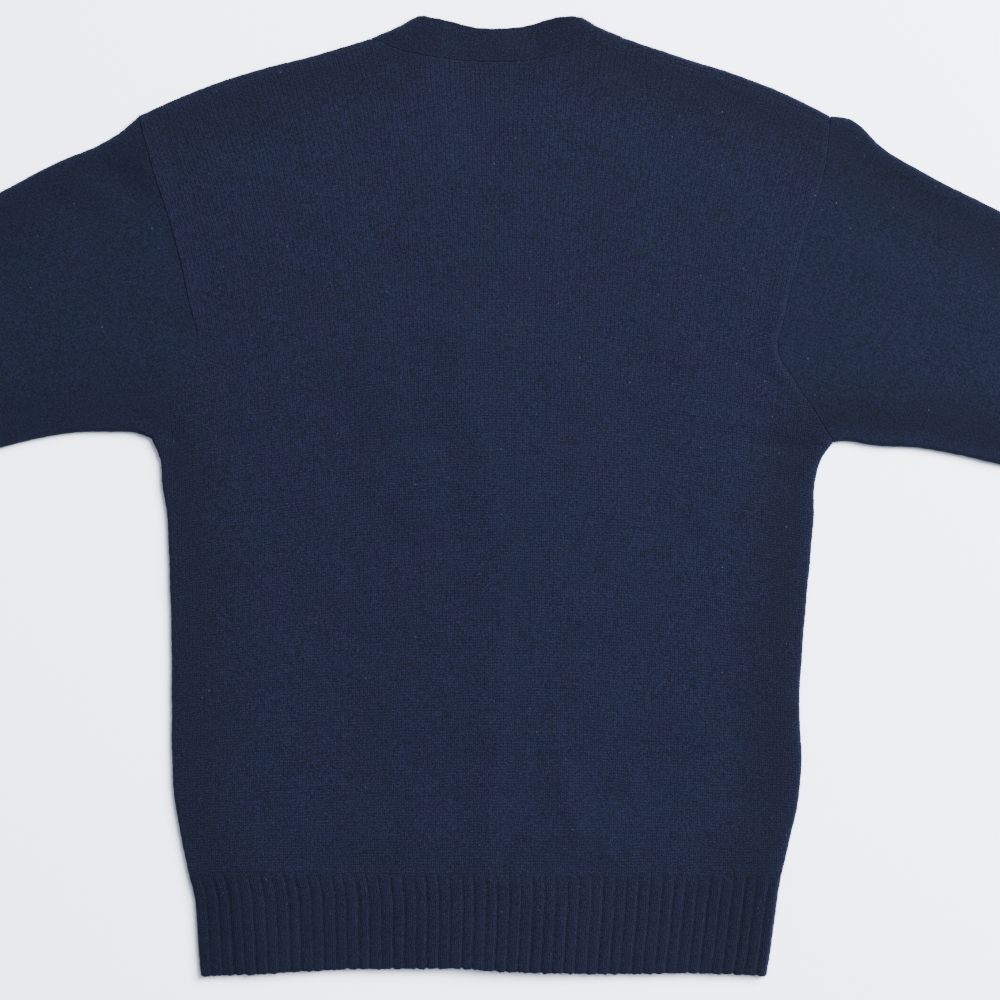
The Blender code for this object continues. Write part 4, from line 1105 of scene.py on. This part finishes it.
# The same wool, milled harder, so that its nap hides most of the stitches.
SLEEVE_TONES, SLEEVE_RELIEF, SLEEVE_COURSES = ("0B1021", "040612"), 0.0005, (0.45, 0.28)
sleeve_knit = milled_knit(
    "milled_lambswool_sleeve", *SLEEVE_TONES, 0.30, SLEEVE_RELIEF, 0.6, SLEEVE_COURSES
)
for side, word in enumerate(("left", "right")):
    tall = shares(lengths(sleeve_under[side])[-1], SLEEVE_ROW)
    wide = shares(SLEEVE_WIDE, SLEEVE_COLUMN)
    wrist = np.array([sleeve_under[side][-1], sleeve_top[side][-1]])
    sides = at(sleeve_under[side], tall), at(sleeve_top[side], tall)
    plan = coons(at(armhole[side], wide), at(wrist, wide), *sides)
    seams = (
        (np.s_[0, :], np.s_[1, :], armhole[side], armhole_round(side, plan[..., 1])),
        (np.s_[-1, :], np.s_[-2, :], wrist, RIB_ROUND),
    )
    over, under = (skins(plan, CLOTH, upper, seams, across=ends) for upper in (True, False))
    down_arm = np.mean(wrist, axis=0) - np.mean(armhole[side], axis=0)
    down_arm /= np.linalg.norm(down_arm)
    over_arm = np.array([-down_arm[1], down_arm[0]])
    stitches = [
        np.stack([flat @ over_arm / WALE, flat @ -down_arm / COURSE], axis=-1)
        for flat in (over[2], under[2])
    ]
    sleeve = tube(f"{word}_sleeve_tube", over, under, stitches, sleeve_knit)
    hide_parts(f"{word}_sleeve")
    fuzz(f"{word}_sleeve_fuzz", over[0], 8000, 4 + side)
    fuzz(f"{word}_sleeve_tufts", over[0], 900, 14 + side, **TUFT)


# The cuffs: the hem's rib again, narrow, hugging the wrist. Each is knitted in one with its sleeve.
CUFF_RIBS, CUFF_ROW, CUFF_LENGTH, CUFF_ROUND = 12, 0.0050, 0.067, 0.0013
for side, word in enumerate(("left", "right")):
    wrist = np.array([cuff_under[side][0], cuff_top[side][0]])
    opening = np.array([cuff_under[side][-1], cuff_top[side][-1]])
    tall = shares(lengths(cuff_under[side])[-1], CUFF_ROW)
    wide = np.linspace(0, 1, CUFF_RIBS * 8 + 1)
    sides = at(cuff_under[side], tall), at(cuff_top[side], tall)
    plan = coons(at(wrist, wide), at(opening, wide), *sides)
    seams = ((np.s_[0, :], np.s_[1, :], wrist, UNDER_RIB_ROUND),)
    frees = [(opening, CUFF_ROUND)]
    full = from_seam(tall * CUFF_LENGTH)
    cut = RIB_DEPTH * (groove(wide, CUFF_RIBS) * full)
    over = skins(plan, CLOTH, True, seams, frees, RIB_CREST * full - cut, across=ends)
    under = skins(plan, CLOTH, False, seams, frees, cut, across=ends)
    along = np.broadcast_to((tall * CUFF_LENGTH)[:, None], plan.shape[:2])
    stitches = rib_stitches(wide, CUFF_RIBS, along)
    cuff = tube(f"{word}_cuff_rib", over, under, (stitches, stitches), rib_knit)
    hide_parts(f"{word}_cuff")
    fuzz(f"{word}_cuff_fuzz", over[0], 1500, 6 + side)


# The buttons: turned from navy polyester, 18 mm across with a raised rim and four holes, and sewn
# to the right band with navy thread. They go through the left band and lie lowest, face down.
FACE_RADIUS, HOLE_RADIUS, HOLE_OFFSET = 0.0052, 0.0009, 0.0018
FACE_Z, BACK_Z, HOLE_BEVEL = 0.0006, 0.0024, 0.0002
TURNS, ARC_STEPS, RAY_STEPS, RIM_SHARES = 48, 12, 6, (0.0, 0.12, 0.5, 1.0)
BUTTON_PROFILE = (  # distance from the middle, height, from the sunk face round the rim to the back
    (0.0052, 0.0006),
    (0.0062, 0.0005),
    (0.0070, 0.0001),
    (0.0076, 0.0000),
    (0.0082, 0.0001),
    (0.0087, 0.0005),
    (0.0090, 0.0011),
    (0.0089, 0.0017),
    (0.0084, 0.0022),
    (0.0074, 0.0024),
    (0.0052, 0.0024),
)
STRAND_RADIUS, STRAND_SIDES, STRAND_STEPS = 0.00018, 8, 14
STRAND_STEP, STRAND_LOW, STRAND_DIP = 0.00032, 0.00035, 0.0013


def button_grids():
    """Grids of a button: its profile turned round, and four pierced quarters on face and back.

    A quarter runs in straight steps from the circle of its hole out to its outline, which is two
    radii and the arc between them.
    """
    turn = np.arange(TURNS + 1) * 2 * math.pi / TURNS
    profile = np.array(BUTTON_PROFILE)
    far, height = profile[:, :1], np.broadcast_to(profile[:, 1:], (len(profile), TURNS + 1))
    grids = [np.stack([far * np.cos(turn), far * np.sin(turn), height], axis=-1)]
    ray = np.linspace(0, FACE_RADIUS, RAY_STEPS + 1)[:-1]
    arc = np.arange(ARC_STEPS + 1) * math.pi / 2 / ARC_STEPS
    outline = np.concatenate([
        np.stack([ray, 0 * ray], axis=-1),
        FACE_RADIUS * np.stack([np.cos(arc), np.sin(arc)], axis=-1),
        np.stack([0 * ray, ray], axis=-1)[::-1],
    ])
    away = outline - HOLE_OFFSET
    hole = HOLE_OFFSET + HOLE_RADIUS * away / np.linalg.norm(away, axis=1, keepdims=True)
    share = np.array(RIM_SHARES)[:, None, None]
    quarter = (1 - share) * hole + share * outline
    for c, s in ((1, 0), (0, 1), (-1, 0), (0, -1)):
        turned = quarter @ np.array([[c, s], [-s, c]])
        face, rear = (np.insert(turned, 2, z, axis=-1) for z in (FACE_Z, BACK_Z))
        face[0, :, 2] += HOLE_BEVEL
        rear[0, :, 2] -= HOLE_BEVEL
        grids += [face, rear, np.stack([face[0], rear[0]])]
    return grids


def thread_grids():
    """Grids of the sewing: three strands over each pair of holes, each a thin tube.

    A strand follows a sine over the pair and dips into the holes by the fifth power of its run.
    """
    run = np.linspace(-1, 1, STRAND_STEPS + 1)
    turn = np.arange(STRAND_SIDES + 1) * 2 * math.pi / STRAND_SIDES
    ring = STRAND_RADIUS * np.stack([np.cos(turn), 0 * turn, np.sin(turn)], axis=-1)
    reach = HOLE_OFFSET * np.sin(run * math.pi / 2)
    height = STRAND_LOW + STRAND_DIP * np.abs(run) ** 5
    grids = []
    for x in (-HOLE_OFFSET, HOLE_OFFSET):
        for slip in (-STRAND_STEP, 0.0, STRAND_STEP):
            path = np.stack([x + slip * (1 - 0.5 * run**2), reach, height], axis=-1)
            grids.append(path[:, None] + ring[None])
    return grids


def corners_of(grids):
    """Corner points of every quad of these grids."""
    numbers = [np.arange(grid.shape[0] * grid.shape[1]).reshape(grid.shape[:2]) for grid in grids]
    return np.concatenate([g.reshape(-1, 3)[grid_quads(n)] for g, n in zip(grids, numbers)])


# Moulded and polished resin: a tight highlight on the rim. The thread is a dull twisted polyester.
resin = new_material("polished_polyester_resin", 0.28, 0.5, "0C0F1C")
thread = new_material("twisted_polyester_thread", 0.6, 0.3, "0F1427")
of_resin, of_thread = corners_of(button_grids()), corners_of(thread_grids())
corners = np.concatenate([of_resin, of_thread])
points, faces = np.unique(np.round(corners.reshape(-1, 3), 7), axis=0, return_inverse=True)
faces = faces.reshape(-1, 4)
kept = np.array([len(set(face)) >= 3 for face in faces.tolist()])
loops = [list(dict.fromkeys(face)) for face in faces[kept].tolist()]
kinds = (np.arange(len(faces)) >= len(of_resin)).astype(np.int32)[kept]
for number, y in enumerate(BUTTON_YS, start=1):
    mesh = bpy.data.meshes.new(f"button_{number}_turned")
    mesh.from_pydata(points + [placket_x(y), y, 0.0], [], loops)
    mesh.materials.append(resin)
    mesh.materials.append(thread)
    mesh.polygons.foreach_set("material_index", kinds)
    shape = bmesh.new()
    shape.from_mesh(mesh)
    bmesh.ops.recalc_face_normals(shape, faces=shape.faces)
    shape.to_mesh(mesh)
    shape.free()
    mesh.shade_smooth()
    button = add_object(f"button_{number}_turned", mesh)
    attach(button, "root")
    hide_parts(f"button_{number}")
